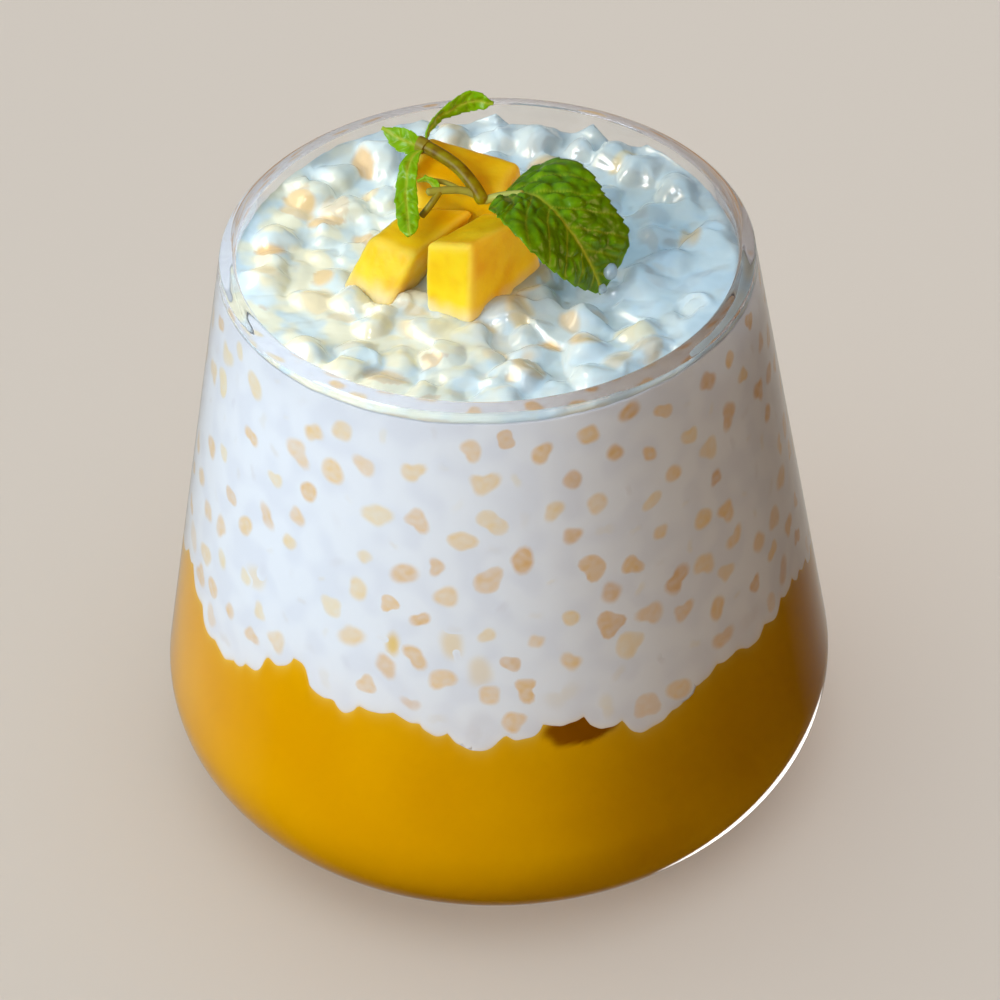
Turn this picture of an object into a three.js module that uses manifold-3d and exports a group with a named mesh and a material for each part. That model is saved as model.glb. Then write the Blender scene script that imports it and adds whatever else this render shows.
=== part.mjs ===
// Tapioca pudding with mango in a tapered tumbler: mango puree below, pearls in cream above,
// three pieces of mango and a sprig of mint on top. Millimetres, +Z up, the origin under the
// middle of the glass, the front of the dessert towards -Y.
import * as THREE from 'three';
import { RoundedBoxGeometry } from 'three/addons/geometries/RoundedBoxGeometry.js';
import { mergeVertices } from 'three/addons/utils/BufferGeometryUtils.js';
import Module from 'manifold-3d';

const wasm = await Module();
wasm.setup();

// Glass
const GLASS_HEIGHT = 89;
const RIM_RADIUS = 37;
const BASE_RADIUS = 35;
const BASE_CORNER = 15;
const WALL = 2.3;
const FLOOR = 3.5;
const INNER_CORNER = 12;
const SEGMENTS = 64;
const CORNER_STEPS = 7;
const RIM_STEPS = 5;

// Puree and pudding
const CLEARANCE = 0.3;
const LAYER_GAP = 0.4;
const PUREE_LEVEL = 36.7;
const PUREE_WAVES = [
  { count: 5, height: 1.0, phase: -1.75 },
  { count: 8, height: 1.0, phase: -0.37 },
  { count: 12, height: 1.5, phase: -0.85 },
];
const PUREE_CREST = { angle: -130, spread: 6, height: 7.6 };
const PUREE_CALMING = 2;
const LAYER_SHARES = [0.3, 0.6, 0.85, 1];
const PUDDING_LEVEL = 82.6;
const PUDDING_TILT = 0.03;
const PUDDING_WALL_RISE = 1.8;
const PUDDING_WALL_CURVE = 4;
const TOP_RADIUS = 35;

// Tapioca pearls that show on top, and the low spot behind the rear piece of mango
const PEARL_RADIUS = [2.4, 2.85];
const PEARL_SUNK = 0.55;
const PEARL_SPACING = 5.8;
const PEARL_STRAY = 0.8;
const PEARL_SEED = 41;
const BANK_LIFT = 1.5;
const LOW_SPOT = { x: [-3, 13], y: [18.5, 26.5], height: 84.6 };

// Pieces of mango: place and height of the underside, turn, length, width and height, the
// shift of the top against the base, how the top slopes, how it narrows, and how much shorter
// the far end is on its left side.
const MANGO_ROUNDING = 1.0;
const MANGO_STEPS = 2;
const MANGO_PIECES = {
  mango_piece_left: {
    place: [-12.6, 0.7, 83.3], turn: 52, size: [16.8, 8.0, 8.1],
    shift: [3.4, -2.2], slope: [0, 0], narrow: [0.8, 1.0], skew: 4.6,
  },
  mango_piece_front: {
    place: [-0.5, -4.0, 83.5], turn: 52, size: [17.5, 7.6, 11.1],
    shift: [-0.6, 0.4], slope: [-1.2, -1.5], narrow: [0.75, 1.05], skew: 0,
  },
  mango_piece_back: {
    place: [-1.6, 11.9, 82.7], turn: -21, size: [13.6, 8.6, 13.1],
    shift: [0, -3.5], slope: [-0.9, 0.6], narrow: [1.0, 0.95], skew: 0,
  },
};

// Mint: the shoots as points along their middle with a radius, the leaves by their midrib
const SHOOT_STEPS = 8;
const SHOOT_ARC_STEPS = 3;
const SHOOTS = {
  stem: {
    radius: 0.95,
    points: [
      [-8.6, 10.8, 98.3], [-6.1, 8.7, 98.0], [-3.7, 6.4, 97.4], [-1.7, 4.0, 96.1], [-0.2, 2.1, 94.2],
    ],
  },
  stalk: {
    radius: 0.5,
    points: [[-0.5, 2.6, 94.3], [1.4, 2.6, 94.9], [3.0, 2.0, 95.4], [4.6, 1.2, 96.0]],
  },
  side: {
    radius: 0.5,
    points: [[-1.0, 2.9, 95.0], [-2.8, 3.3, 95.6], [-5.2, 3.2, 95.9], [-8.2, 2.7, 96.0]],
  },
  twig: {
    radius: 0.5,
    points: [[-6.2, 3.0, 96.0], [-7.7, 1.9, 94.3], [-9.0, 1.7, 92.6]],
  },
};
const LEAF_THICKNESS = 0.45;
const LEAF_STEPS = 12;
const LEAF_HALF_STEPS = 2;
const LEAF_NECK = 0.4;
const LEAF_BLUNTNESS = 0.66;
const TOOTH_DEPTH = 0.12;
const RIPPLE = 0.35;
const RIPPLE_COUNT = 3;
const RIPPLE_FULL_WIDTH = 4;
const LEAVES = {
  large: {
    midrib: [
      [3.1, 1.8, 95.5], [6.9, -0.3, 96.7], [10.4, -4.6, 95.4], [13.6, -7.0, 90.8], [15.4, -7.6, 85.5],
    ],
    across: [0.7, 0.7, 0], width: 17, fold: -7, fullest: 0.8,
  },
  back: {
    midrib: [
      [-8.4, 10.3, 98.6], [-7.3, 13.9, 100], [-4.3, 16, 101], [-1, 17.2, 101.6], [2.2, 16, 101.6],
    ],
    across: [0.05, 0.5, -0.75], width: 6, fold: 8, fullest: 1.2,
  },
  upper: {
    midrib: [[-8.4, 10.2, 98.2], [-11.3, 11.4, 98.8], [-14.1, 13.6, 99.4]],
    across: [0.25, 0.62, 0.72], width: 3.4, fold: 4, fullest: 0.8,
  },
  hanging: {
    midrib: [[-8.7, 9.6, 98.2], [-10.3, 7.7, 97.6], [-10.9, 3.8, 94.8], [-10.5, -3.0, 92.8]],
    across: [0.9, -0.3, 0.1], width: 3.7, fold: 10, fullest: 0.8,
  },
  bud: {
    midrib: [[-6.4, 3.1, 95.9], [-7.3, 3.9, 96.8], [-8.4, 4.3, 97.6]],
    across: [0.5, -0.5, 0.7], width: 2.0, fold: 10, fullest: 0.8,
  },
};

const MERGE_TOLERANCE = 1e-4;
const degrees = THREE.MathUtils.degToRad;

// The straight wall runs from the rim and touches the rounded base corner: its lean follows.
const rise = GLASS_HEIGHT - BASE_CORNER;
const inset = RIM_RADIUS - BASE_RADIUS;
const WALL_LEAN = Math.atan2(rise, inset) - Math.acos(BASE_CORNER / Math.hypot(rise, inset));

// Radius, at a height, of the cone that lies a depth below the outside of the straight wall.
function wallRadius(height, depth) {
  const reach = BASE_CORNER - depth + (BASE_CORNER - height) * Math.sin(WALL_LEAN);
  return BASE_RADIUS + reach / Math.cos(WALL_LEAN);
}

function innerRadius(height) {
  return wallRadius(height, WALL);
}

function innerCornerCentre() {
  const height = FLOOR + INNER_CORNER;
  return new THREE.Vector2(wallRadius(height, WALL + INNER_CORNER), height);
}

// Points along an arc of a profile, radius against height.
function arc(centre, radius, from, to, steps) {
  return Array.from({ length: steps + 1 }, (_, i) => {
    const angle = THREE.MathUtils.lerp(from, to, i / steps);
    return new THREE.Vector2(centre.x + radius * Math.cos(angle), centre.y + radius * Math.sin(angle));
  });
}

// Keeps the positions alone, joins the vertices that meet and drops collapsed triangles.
function joined(geometry) {
  const bare = new THREE.BufferGeometry();
  bare.setAttribute('position', geometry.getAttribute('position').clone());
  if (geometry.index) bare.setIndex(geometry.index.clone());
  const merged = mergeVertices(bare, MERGE_TOLERANCE);
  const corners = merged.index.array;
  const kept = [];
  for (let i = 0; i < corners.length; i += 3) {
    const [a, b, c] = corners.slice(i, i + 3);
    if (a !== b && b !== c && c !== a) kept.push(a, b, c);
  }
  merged.setIndex(kept);
  return outward(merged);
}

// Turns a closed mesh round if its faces point inwards.
function outward(geometry) {
  const places = geometry.getAttribute('position');
  const corners = Array.from(geometry.index.array);
  const [a, b, c] = [new THREE.Vector3(), new THREE.Vector3(), new THREE.Vector3()];
  let volume = 0;
  for (let i = 0; i < corners.length; i += 3) {
    a.fromBufferAttribute(places, corners[i]);
    b.fromBufferAttribute(places, corners[i + 1]);
    c.fromBufferAttribute(places, corners[i + 2]);
    volume += a.dot(b.cross(c));
  }
  if (volume < 0) corners.reverse();
  geometry.setIndex(corners);
  return geometry;
}

function toSolid(geometry) {
  const mesh = new wasm.Mesh({
    numProp: 3,
    vertProperties: Float32Array.from(geometry.getAttribute('position').array),
    triVerts: Uint32Array.from(geometry.index.array),
  });
  return new wasm.Manifold(mesh);
}

function toGeometry(solid) {
  const mesh = solid.getMesh();
  const geometry = new THREE.BufferGeometry();
  geometry.setAttribute('position', new THREE.BufferAttribute(mesh.vertProperties, 3));
  geometry.setIndex(Array.from(mesh.triVerts));
  return geometry;
}

function fused(geometries) {
  return toGeometry(geometries.map(toSolid).reduce((whole, piece) => whole.add(piece)));
}

// Repeatable random numbers from 0 to 1.
function dice(seed) {
  let state = seed;
  return () => {
    state = (state * 1664525 + 1013904223) % 4294967296;
    return state / 4294967296;
  };
}

// A closed body from its lowest ring to its highest. Each ring gives radius and height at an
// angle, and a point on the axis closes either end. Quads split the same way whether the rings
// run inwards or outwards, so that two layers with the same wavy sheet match.
function ringBody(bottom, rings, top) {
  const places = [0, 0, bottom];
  for (const ring of rings) {
    for (let i = 0; i < SEGMENTS; i++) {
      const angle = (2 * Math.PI * i) / SEGMENTS;
      const [radius, height] = ring(angle);
      places.push(radius * Math.cos(angle), radius * Math.sin(angle), height);
    }
  }
  places.push(0, 0, top);
  const at = (ring, i) => 1 + ring * SEGMENTS + (i % SEGMENTS);
  const last = rings.length - 1;
  const shrinks = rings.slice(1).map((ring, i) => ring(0)[0] < rings[i](0)[0]);
  const corners = [];
  for (let i = 0; i < SEGMENTS; i++) {
    corners.push(0, at(0, i + 1), at(0, i));
    for (let ring = 0; ring < last; ring++) {
      const [a, b, c, d] = [at(ring, i), at(ring, i + 1), at(ring + 1, i + 1), at(ring + 1, i)];
      if (shrinks[ring]) corners.push(a, b, c, a, c, d);
      else corners.push(a, b, d, b, c, d);
    }
    corners.push(at(last, i), at(last, i + 1), at(last, SEGMENTS - 1) + 1);
  }
  const geometry = new THREE.BufferGeometry();
  geometry.setAttribute('position', new THREE.Float32BufferAttribute(places, 3));
  geometry.setIndex(corners);
  return outward(geometry);
}

function makeGlass() {
  const half = WALL / 2;
  const corner = new THREE.Vector2(BASE_RADIUS, BASE_CORNER);
  const rim = new THREE.Vector2(wallRadius(GLASS_HEIGHT - half, half), GLASS_HEIGHT - half);
  const outline = [
    new THREE.Vector2(0, 0),
    ...arc(corner, BASE_CORNER, -Math.PI / 2, WALL_LEAN, CORNER_STEPS),
    ...arc(rim, half, WALL_LEAN, WALL_LEAN + Math.PI, RIM_STEPS),
    ...arc(innerCornerCentre(), INNER_CORNER, WALL_LEAN, -Math.PI / 2, CORNER_STEPS),
    new THREE.Vector2(0, FLOOR),
  ];
  return joined(new THREE.LatheGeometry(outline, SEGMENTS).rotateX(Math.PI / 2));
}

// Height of the line between puree and pudding where it meets the glass.
function pureeEdge(angle) {
  const wave = ({ count, height, phase }) => height * Math.sin(count * angle + phase);
  const waves = PUREE_WAVES.map(wave).reduce((a, b) => a + b);
  const fromCrest = angle - degrees(PUREE_CREST.angle);
  const turn = THREE.MathUtils.euclideanModulo(fromCrest + Math.PI, 2 * Math.PI) - Math.PI;
  const away = turn / degrees(PUREE_CREST.spread);
  return PUREE_LEVEL + waves + PUREE_CREST.height * Math.exp(-away * away);
}

// The wavy sheet between the two layers: full waves at the glass, calmer towards the middle.
function layerRing(share, offset) {
  return (angle) => {
    const wave = (pureeEdge(angle) - PUREE_LEVEL) * share ** PUREE_CALMING;
    const height = PUREE_LEVEL + wave + offset;
    return [share * (innerRadius(height) - CLEARANCE), height];
  };
}

function makePuree() {
  const reach = INNER_CORNER - CLEARANCE;
  const corner = arc(innerCornerCentre(), reach, -Math.PI / 2, WALL_LEAN, CORNER_STEPS);
  const rings = corner.map(({ x, y }) => () => [x, y]);
  for (const share of [...LAYER_SHARES].reverse()) rings.push(layerRing(share, -LAYER_GAP / 2));
  return ringBody(FLOOR + CLEARANCE, rings, PUREE_LEVEL - LAYER_GAP / 2);
}

// Height of the cream between the pearls: a little higher at the front and along the glass.
function creamTop(x, y) {
  const rim = (Math.hypot(x, y) / TOP_RADIUS) ** PUDDING_WALL_CURVE;
  return PUDDING_LEVEL - PUDDING_TILT * y + PUDDING_WALL_RISE * rim;
}

// Distance in plan from a point to a piece of mango.
function distanceToMango({ place, turn, size }, x, y) {
  const away = new THREE.Vector2(x - place[0], y - place[1]);
  away.rotateAround(new THREE.Vector2(), degrees(-turn));
  return Math.hypot(
    Math.max(0, Math.abs(away.x) - size[0] / 2),
    Math.max(0, Math.abs(away.y) - size[1] / 2),
  );
}

function distanceToLowSpot(x, y) {
  const beside = (value, [low, high]) => Math.max(low - value, 0, value - high);
  return Math.hypot(beside(x, LOW_SPOT.x), beside(y, LOW_SPOT.y));
}

// Places for the pearls that show: one row along the glass, and staggered rows inside it, each
// pearl a little astray. Pearls that would cut the mango are left out.
function pearlPlaces(draw) {
  const stray = () => PEARL_STRAY * (draw() - 0.5);
  const reach = innerRadius(GLASS_HEIGHT) - CLEARANCE - PEARL_RADIUS[1];
  const count = Math.floor((2 * Math.PI * reach) / PEARL_SPACING);
  const places = [];
  for (let i = 0; i < count; i++) {
    const angle = (2 * Math.PI * i + stray()) / count;
    places.push([reach * Math.cos(angle), reach * Math.sin(angle)]);
  }
  const rows = Math.ceil((2 * reach) / PEARL_SPACING);
  for (let row = -rows; row <= rows; row++) {
    for (let column = -rows; column <= rows; column++) {
      const x = PEARL_SPACING * (column + (row % 2) / 2) + stray();
      const y = PEARL_SPACING * row * Math.sin(Math.PI / 3) + stray();
      if (Math.hypot(x, y) < reach - PEARL_SPACING + PEARL_STRAY) places.push([x, y]);
    }
  }
  return places;
}

// The pearls lie half in the cream. Those along the back of the glass are banked up higher, and
// those in the low spot stay down.
function scatterPearls() {
  const draw = dice(PEARL_SEED);
  const pearls = [];
  for (const [x, y] of pearlPlaces(draw)) {
    const radius = THREE.MathUtils.lerp(...PEARL_RADIUS, draw());
    const clear = Object.values(MANGO_PIECES)
      .every((piece) => distanceToMango(piece, x, y) > radius + CLEARANCE);
    if (!clear) continue;
    const low = distanceToLowSpot(x, y) < radius + CLEARANCE;
    const bank = BANK_LIFT * Math.max(0, y / TOP_RADIUS) ** 2;
    const z = creamTop(x, y) - PEARL_SUNK + (low ? 0 : bank);
    pearls.push({ x, y, radius, z: low ? Math.min(z, LOW_SPOT.height - radius) : z });
  }
  return pearls;
}

function makePudding() {
  const wall = (share) => (angle) => {
    const low = pureeEdge(angle) + LAYER_GAP / 2;
    const rim = innerRadius(PUDDING_LEVEL) - CLEARANCE;
    const high = creamTop(rim * Math.cos(angle), rim * Math.sin(angle));
    const height = THREE.MathUtils.lerp(low, high, share);
    return [innerRadius(height) - CLEARANCE, height];
  };
  const top = (share) => (angle) => {
    const [rim, height] = wall(1)(angle);
    const radius = rim * share;
    return [radius, share === 1 ? height : creamTop(radius * Math.cos(angle), radius * Math.sin(angle))];
  };
  const rings = LAYER_SHARES.map((share) => layerRing(share, LAYER_GAP / 2));
  rings.push(wall(0.5), ...[...LAYER_SHARES].reverse().map(top));
  const core = ringBody(PUREE_LEVEL + LAYER_GAP / 2, rings, PUDDING_LEVEL);
  const pearls = scatterPearls().map(({ x, y, z, radius }) => {
    const pearl = new THREE.OctahedronGeometry(radius, 1).rotateZ(x).translate(x, y, z);
    return joined(pearl);
  });
  return fused([core, ...pearls]);
}

// A cut piece of mango: a rounded block whose top is shifted, sloped and narrowed.
function makeMango({ size, shift, slope, narrow, skew }) {
  const [length, width, height] = size;
  const geometry = new RoundedBoxGeometry(length, width, height, MANGO_STEPS, MANGO_ROUNDING);
  const places = geometry.getAttribute('position');
  for (let i = 0; i < places.count; i++) {
    const along = places.getX(i) / (length / 2);
    const across = places.getY(i) / (width / 2);
    const up = places.getZ(i) / height + 0.5;
    const shorter = skew * ((1 + along) / 2) * ((1 + across) / 2);
    places.setXYZ(
      i,
      places.getX(i) * THREE.MathUtils.lerp(1, narrow[0], up) + shift[0] * up - shorter,
      places.getY(i) * THREE.MathUtils.lerp(1, narrow[1], up) + shift[1] * up,
      up * (height + along * slope[0] + across * slope[1]),
    );
  }
  return joined(geometry);
}

function curveThrough(points) {
  return new THREE.CatmullRomCurve3(points.map((point) => new THREE.Vector3(...point)));
}

function makeShoot({ radius, points }) {
  const section = new THREE.Shape().absarc(0, 0, radius, 0, 2 * Math.PI);
  return joined(new THREE.ExtrudeGeometry(section, {
    curveSegments: SHOOT_ARC_STEPS,
    steps: SHOOT_STEPS,
    extrudePath: curveThrough(points),
    bevelEnabled: false,
  }));
}

// A thin toothed leaf along its midrib. Both faces have the same triangles.
function makeLeaf({ midrib, across, width, fold, fullest }) {
  const curve = curveThrough(midrib);
  const columns = 2 * LEAF_HALF_STEPS + 1;
  const [upper, lower] = [[], []];
  for (let row = 0; row <= LEAF_STEPS; row++) {
    const t = row / LEAF_STEPS;
    const middle = curve.getPointAt(t);
    const along = curve.getTangentAt(t);
    const side = new THREE.Vector3(...across);
    side.addScaledVector(along, -side.dot(along)).normalize();
    const face = new THREE.Vector3().crossVectors(side, along);
    const tooth = 1 - (row % 2) * TOOTH_DEPTH;
    const outline = Math.sin(Math.PI * t ** fullest) ** LEAF_BLUNTNESS;
    const half = Math.max(LEAF_NECK, (width / 2) * outline * tooth);
    for (let column = 0; column < columns; column++) {
      const share = column / LEAF_HALF_STEPS - 1;
      const ripple = RIPPLE * Math.abs(share) * Math.sin(2 * Math.PI * RIPPLE_COUNT * t + share);
      const flutter = ripple * Math.min(1, half / RIPPLE_FULL_WIDTH);
      const lift = half * Math.abs(share) * Math.sin(degrees(fold)) + flutter;
      const place = middle.clone().addScaledVector(side, half * share * Math.cos(degrees(fold)));
      place.addScaledVector(face, lift);
      upper.push(place.clone().addScaledVector(face, LEAF_THICKNESS / 2));
      lower.push(place.addScaledVector(face, -LEAF_THICKNESS / 2));
    }
  }
  return thinSolid(upper, lower, columns);
}

// Closes two like grids of points into one thin body.
function thinSolid(upper, lower, columns) {
  const rows = upper.length / columns;
  const corners = [];
  const quad = (a, b, c, d) => corners.push(a, b, c, a, c, d);
  const under = (index) => index + upper.length;
  const at = (row, column) => row * columns + column;
  for (let row = 0; row + 1 < rows; row++) {
    for (let column = 0; column + 1 < columns; column++) {
      const [a, b] = [at(row, column), at(row, column + 1)];
      const [c, d] = [at(row + 1, column + 1), at(row + 1, column)];
      quad(a, b, c, d);
      corners.push(under(a), under(c), under(b), under(a), under(d), under(c));
    }
  }
  const edge = [];
  for (let column = 0; column < columns - 1; column++) edge.push(at(0, column));
  for (let row = 0; row < rows - 1; row++) edge.push(at(row, columns - 1));
  for (let column = columns - 1; column > 0; column--) edge.push(at(rows - 1, column));
  for (let row = rows - 1; row > 0; row--) edge.push(at(row, 0));
  edge.forEach((from, i) => {
    const to = edge[(i + 1) % edge.length];
    quad(from, under(from), under(to), to);
  });
  const geometry = new THREE.BufferGeometry();
  geometry.setAttribute('position', new THREE.Float32BufferAttribute(
    [...upper, ...lower].flatMap((place) => place.toArray()),
    3,
  ));
  geometry.setIndex(corners);
  return outward(geometry);
}

function makeMint() {
  return fused([...Object.values(SHOOTS).map(makeShoot), ...Object.values(LEAVES).map(makeLeaf)]);
}

function part(name, geometry, finish) {
  geometry.computeVertexNormals();
  const mesh = new THREE.Mesh(geometry, new THREE.MeshStandardMaterial(finish));
  mesh.name = name;
  return mesh;
}

const FINISHES = {
  glass: { color: 0xeaf1f3, roughness: 0.03, metalness: 0, transparent: true, opacity: 0.25 },
  puree: { color: 0xd99a0c, roughness: 0.35, metalness: 0 },
  pudding: { color: 0xe9e6df, roughness: 0.3, metalness: 0 },
  mango: { color: 0xf3c51e, roughness: 0.4, metalness: 0 },
  mint: { color: 0x4f8a14, roughness: 0.45, metalness: 0 },
};

const dessert = new THREE.Group();
dessert.add(
  part('glass', makeGlass(), FINISHES.glass),
  part('mango_puree', makePuree(), FINISHES.puree),
  part('tapioca_pudding', makePudding(), FINISHES.pudding),
);
for (const [name, piece] of Object.entries(MANGO_PIECES)) {
  const mesh = part(name, makeMango(piece), FINISHES.mango);
  mesh.position.set(...piece.place);
  mesh.rotation.z = degrees(piece.turn);
  dessert.add(mesh);
}
dessert.add(part('mint_sprig', makeMint(), FINISHES.mint));

export default dessert;
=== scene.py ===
# %% [markdown]
# Tapioca pudding with mango, in its glass.
# The dessert has two layers: a smooth mango puree at the bottom and tapioca pearls in white cream
# above it. Three cut pieces of mango and a sprig of mint lie on top. This lesson builds it in the
# order of the kitchen: glass, puree, pudding, fruit, mint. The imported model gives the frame. Sizes
# of the dessert are in millimetres in that frame, and each piece is turned to metres as it is made.

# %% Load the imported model
import math

import bpy
import numpy as np
from mathutils import Matrix, Vector, noise


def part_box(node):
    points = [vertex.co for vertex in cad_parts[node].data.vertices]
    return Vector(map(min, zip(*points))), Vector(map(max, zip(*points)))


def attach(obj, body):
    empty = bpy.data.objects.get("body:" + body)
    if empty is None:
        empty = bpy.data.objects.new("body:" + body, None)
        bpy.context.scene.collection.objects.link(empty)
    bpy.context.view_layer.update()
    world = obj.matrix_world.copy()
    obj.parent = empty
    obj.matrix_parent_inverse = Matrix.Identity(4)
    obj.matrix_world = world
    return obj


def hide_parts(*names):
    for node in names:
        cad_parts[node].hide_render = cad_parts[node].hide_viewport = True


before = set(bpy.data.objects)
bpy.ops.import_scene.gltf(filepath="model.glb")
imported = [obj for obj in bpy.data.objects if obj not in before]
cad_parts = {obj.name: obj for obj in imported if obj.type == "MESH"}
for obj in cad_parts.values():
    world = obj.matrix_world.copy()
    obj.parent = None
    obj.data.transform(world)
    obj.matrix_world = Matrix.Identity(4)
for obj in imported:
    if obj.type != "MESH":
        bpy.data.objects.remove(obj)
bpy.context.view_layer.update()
MM = 0.001
print("solids:", ", ".join(sorted(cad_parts)))

# %% [markdown]
# The camera looks down on the glass from the front, about forty degrees above the table, through
# a long lens. A long lens keeps the rim nearly a true ellipse. The picture is turned a little, as
# a hand-held picture is, so the camera rolls about its own axis before it is tilted.

# %% Camera
CAMERA_AIM = Vector((0.78, 0.0, 42.39)) * MM
CAMERA_DISTANCE = 500 * MM
CAMERA_ELEVATION = math.radians(40.32)
CAMERA_ROLL = math.radians(-1.62)
CAMERA_LENS = 122.3

camera = bpy.data.objects.new("camera", bpy.data.cameras.new("camera"))
camera.data.lens = CAMERA_LENS
camera.data.sensor_width = 36.0
camera.data.clip_start = 0.01
tilt = Matrix.Rotation(math.pi / 2 - CAMERA_ELEVATION, 4, "X")
back_along_view = tilt.to_3x3() @ Vector((0, 0, 1))
camera.matrix_world = (
    Matrix.Translation(CAMERA_AIM + CAMERA_DISTANCE * back_along_view)
    @ tilt
    @ Matrix.Rotation(CAMERA_ROLL, 4, "Z")
)
scene = bpy.context.scene
scene.collection.objects.link(camera)
scene.camera = camera
print("camera at", [round(v, 3) for v in camera.location])

# %% [markdown]
# Colours are written as sRGB hex values, the numbers that a colour picker shows. Shaders work in
# linear light, so one function turns them round. A second small function adds a shader node: its
# settings go in by name, and an input is either a plain value or a socket to link from.

# %% Colour and node helpers
def linear(hex_colour):
    """Linear RGBA of an sRGB hex colour."""
    parts = [int(hex_colour[i:i + 2], 16) / 255 for i in (0, 2, 4)]
    light = [p / 12.92 if p <= 0.04045 else ((p + 0.055) / 1.055) ** 2.4 for p in parts]
    return (*light, 1.0)


def add(tree, kind, inputs=None, stops=None, **settings):
    """Add a node; inputs are values or sockets to link, stops fill a colour ramp."""
    made = tree.nodes.new(kind)
    for name, value in settings.items():
        setattr(made, name, value)
    for name, value in (inputs or {}).items():
        if isinstance(value, bpy.types.NodeSocket):
            tree.links.new(value, made.inputs[name])
        else:
            made.inputs[name].default_value = value
    for i, (place, colour) in enumerate(stops or []):
        ramp = made.color_ramp.elements
        stop = ramp[i] if i < 2 else ramp.new(place)
        stop.position = place
        stop.color = linear(colour)
    return made


def new_material(name):
    """A material without nodes, and its node tree."""
    material = bpy.data.materials.new(name)
    material.use_nodes = True
    material.node_tree.nodes.clear()
    return material, material.node_tree


print("mid grey 808080 is", round(linear("808080")[0], 3), "in linear light")

# %% [markdown]
# The floor is plain, pale and matt. It has two lamps of its own, and one of them throws no shadow,
# so the shadow of the glass stays light. The view transform is Standard, because the film-like one
# greys out the yellow of mango.

# %% Floor
scene.view_settings.view_transform = "Standard"

FLOOR_RADIUS = 4.0
FLOOR_SIDES = 96


def painted_floor():
    """Matt painted board: no gloss, so it only gives a pale ground and a soft shadow."""
    material, tree = new_material("painted_board")
    board = add(tree, "ShaderNodeBsdfPrincipled", {
        "Base Color": linear("d7cfc0"), "Roughness": 0.9, "Specular IOR Level": 0.1,
    })
    add(tree, "ShaderNodeOutputMaterial", {"Surface": board.outputs[0]})
    return material


floor_mesh = bpy.data.meshes.new("floor")
turns = [2 * math.pi * i / FLOOR_SIDES for i in range(FLOOR_SIDES)]
floor_mesh.from_pydata(
    [(FLOOR_RADIUS * math.cos(a), FLOOR_RADIUS * math.sin(a), 0) for a in turns], [],
    [list(range(FLOOR_SIDES))],
)
floor = bpy.data.objects.new("floor", floor_mesh)
floor_mesh.materials.append(painted_floor())
scene.collection.objects.link(floor)
floor.visible_diffuse = False
floor.visible_glossy = False
print("floor of", FLOOR_RADIUS, "m radius")

# %% [markdown]
# The light is a soft studio set. A large soft box on the left is the window, and a wide cool one
# above on the right is the sky. Small warm lamps stand for the light that wood throws back: on the
# fruit, on the left of the cream and on the right of the glass. One lamp behind brightens the far
# rim, and a small one gives wet cream its glints. Light linking keeps each lamp to the group of
# pieces that needs it, as cards and flags do in a studio.

# %% Groups of pieces to light
GROUPS = [
    "not_floor", "floor_only", "cream_only", "fruit_only", "mango_only", "wall_only",
    "filling_only",
]

lit = {name: bpy.data.collections.new(name) for name in GROUPS}
lit["floor_only"].objects.link(floor)
lit["not_floor"].objects.link(floor)
lit["not_floor"].collection_objects[0].light_linking.link_state = "EXCLUDE"
print("groups:", ", ".join(lit))

# %% Lamps
# Place in metres, size, watts, colour, and the group that is lit.
LAMPS = {
    "window_left": ((-0.48, -0.31, 0.40), 0.34, 3.75, "ebf2ff", "not_floor"),
    "sky_right": ((0.22, 0.26, 0.56), 0.90, 2.9, "92d2f4", "cream_only"),
    "warm_bounce": ((0.50, -0.35, 0.45), 0.30, 2.4, "ffcb90", "fruit_only"),
    "warm_left": ((-0.085, -0.005, 0.15), 0.08, 0.095, "ffe8c0", "cream_only"),
    "warm_right": ((0.36, -0.56, 0.25), 0.30, 0.70, "ffdcba", "wall_only"),
    "behind": ((0.05, 0.60, 0.30), 0.40, 2.0, "ffeee4", "filling_only"),
    "spark": ((-0.10, -0.28, 0.62), 0.09, 0.4, "f4f8ff", "cream_only"),
    "board_lamp": ((0.5, 0.3, 2.0), 4.0, 9.0, "f8faff", "floor_only"),
    "board_fill": ((0.0, 0.3, 2.0), 4.0, 62.0, "f4f8ff", "floor_only"),
}


def soft_box(name, place, size, watts, colour, group):
    """A square area lamp at a place in metres, turned to the glass, that lights one group."""
    lamp = bpy.data.lights.new(name, "AREA")
    lamp.size = size
    lamp.energy = watts
    lamp.color = linear(colour)[:3]
    box = bpy.data.objects.new(name, lamp)
    box.location = place
    box.rotation_euler = (CAMERA_AIM - Vector(place)).to_track_quat("-Z", "Y").to_euler()
    box.visible_transmission = False
    box.visible_camera = False
    box.light_linking.receiver_collection = lit[group]
    scene.collection.objects.link(box)
    return box


lamps = {name: soft_box(name, *values) for name, values in LAMPS.items()}
lamps["warm_bounce"].light_linking.blocker_collection = lit["mango_only"]
lamps["board_fill"].light_linking.blocker_collection = lit["floor_only"]
print("lamps:", ", ".join(lamps))

# %% [markdown]
# Clear glass shows what surrounds it, so the room matters as much as the lamps. It is pale on the
# left and brown on the right, which gives the glass its dark right edge. The table below it is dark
# in front and pale far behind. A white card, low behind on the right, draws the bright line along
# the base. All of it is painted on the world by direction.

# %% Room that the glass mirrors
ROOM_STRENGTH = 0.6
TABLE_LEAN, TABLE_REACH, TABLE_DEPTH = -0.35, 0.95, -0.25
CARD_WAY, CARD_EDGE, CARD_STRENGTH = (0.31, 0.52, -0.80), (0.986, 0.995), 4.0

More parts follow.
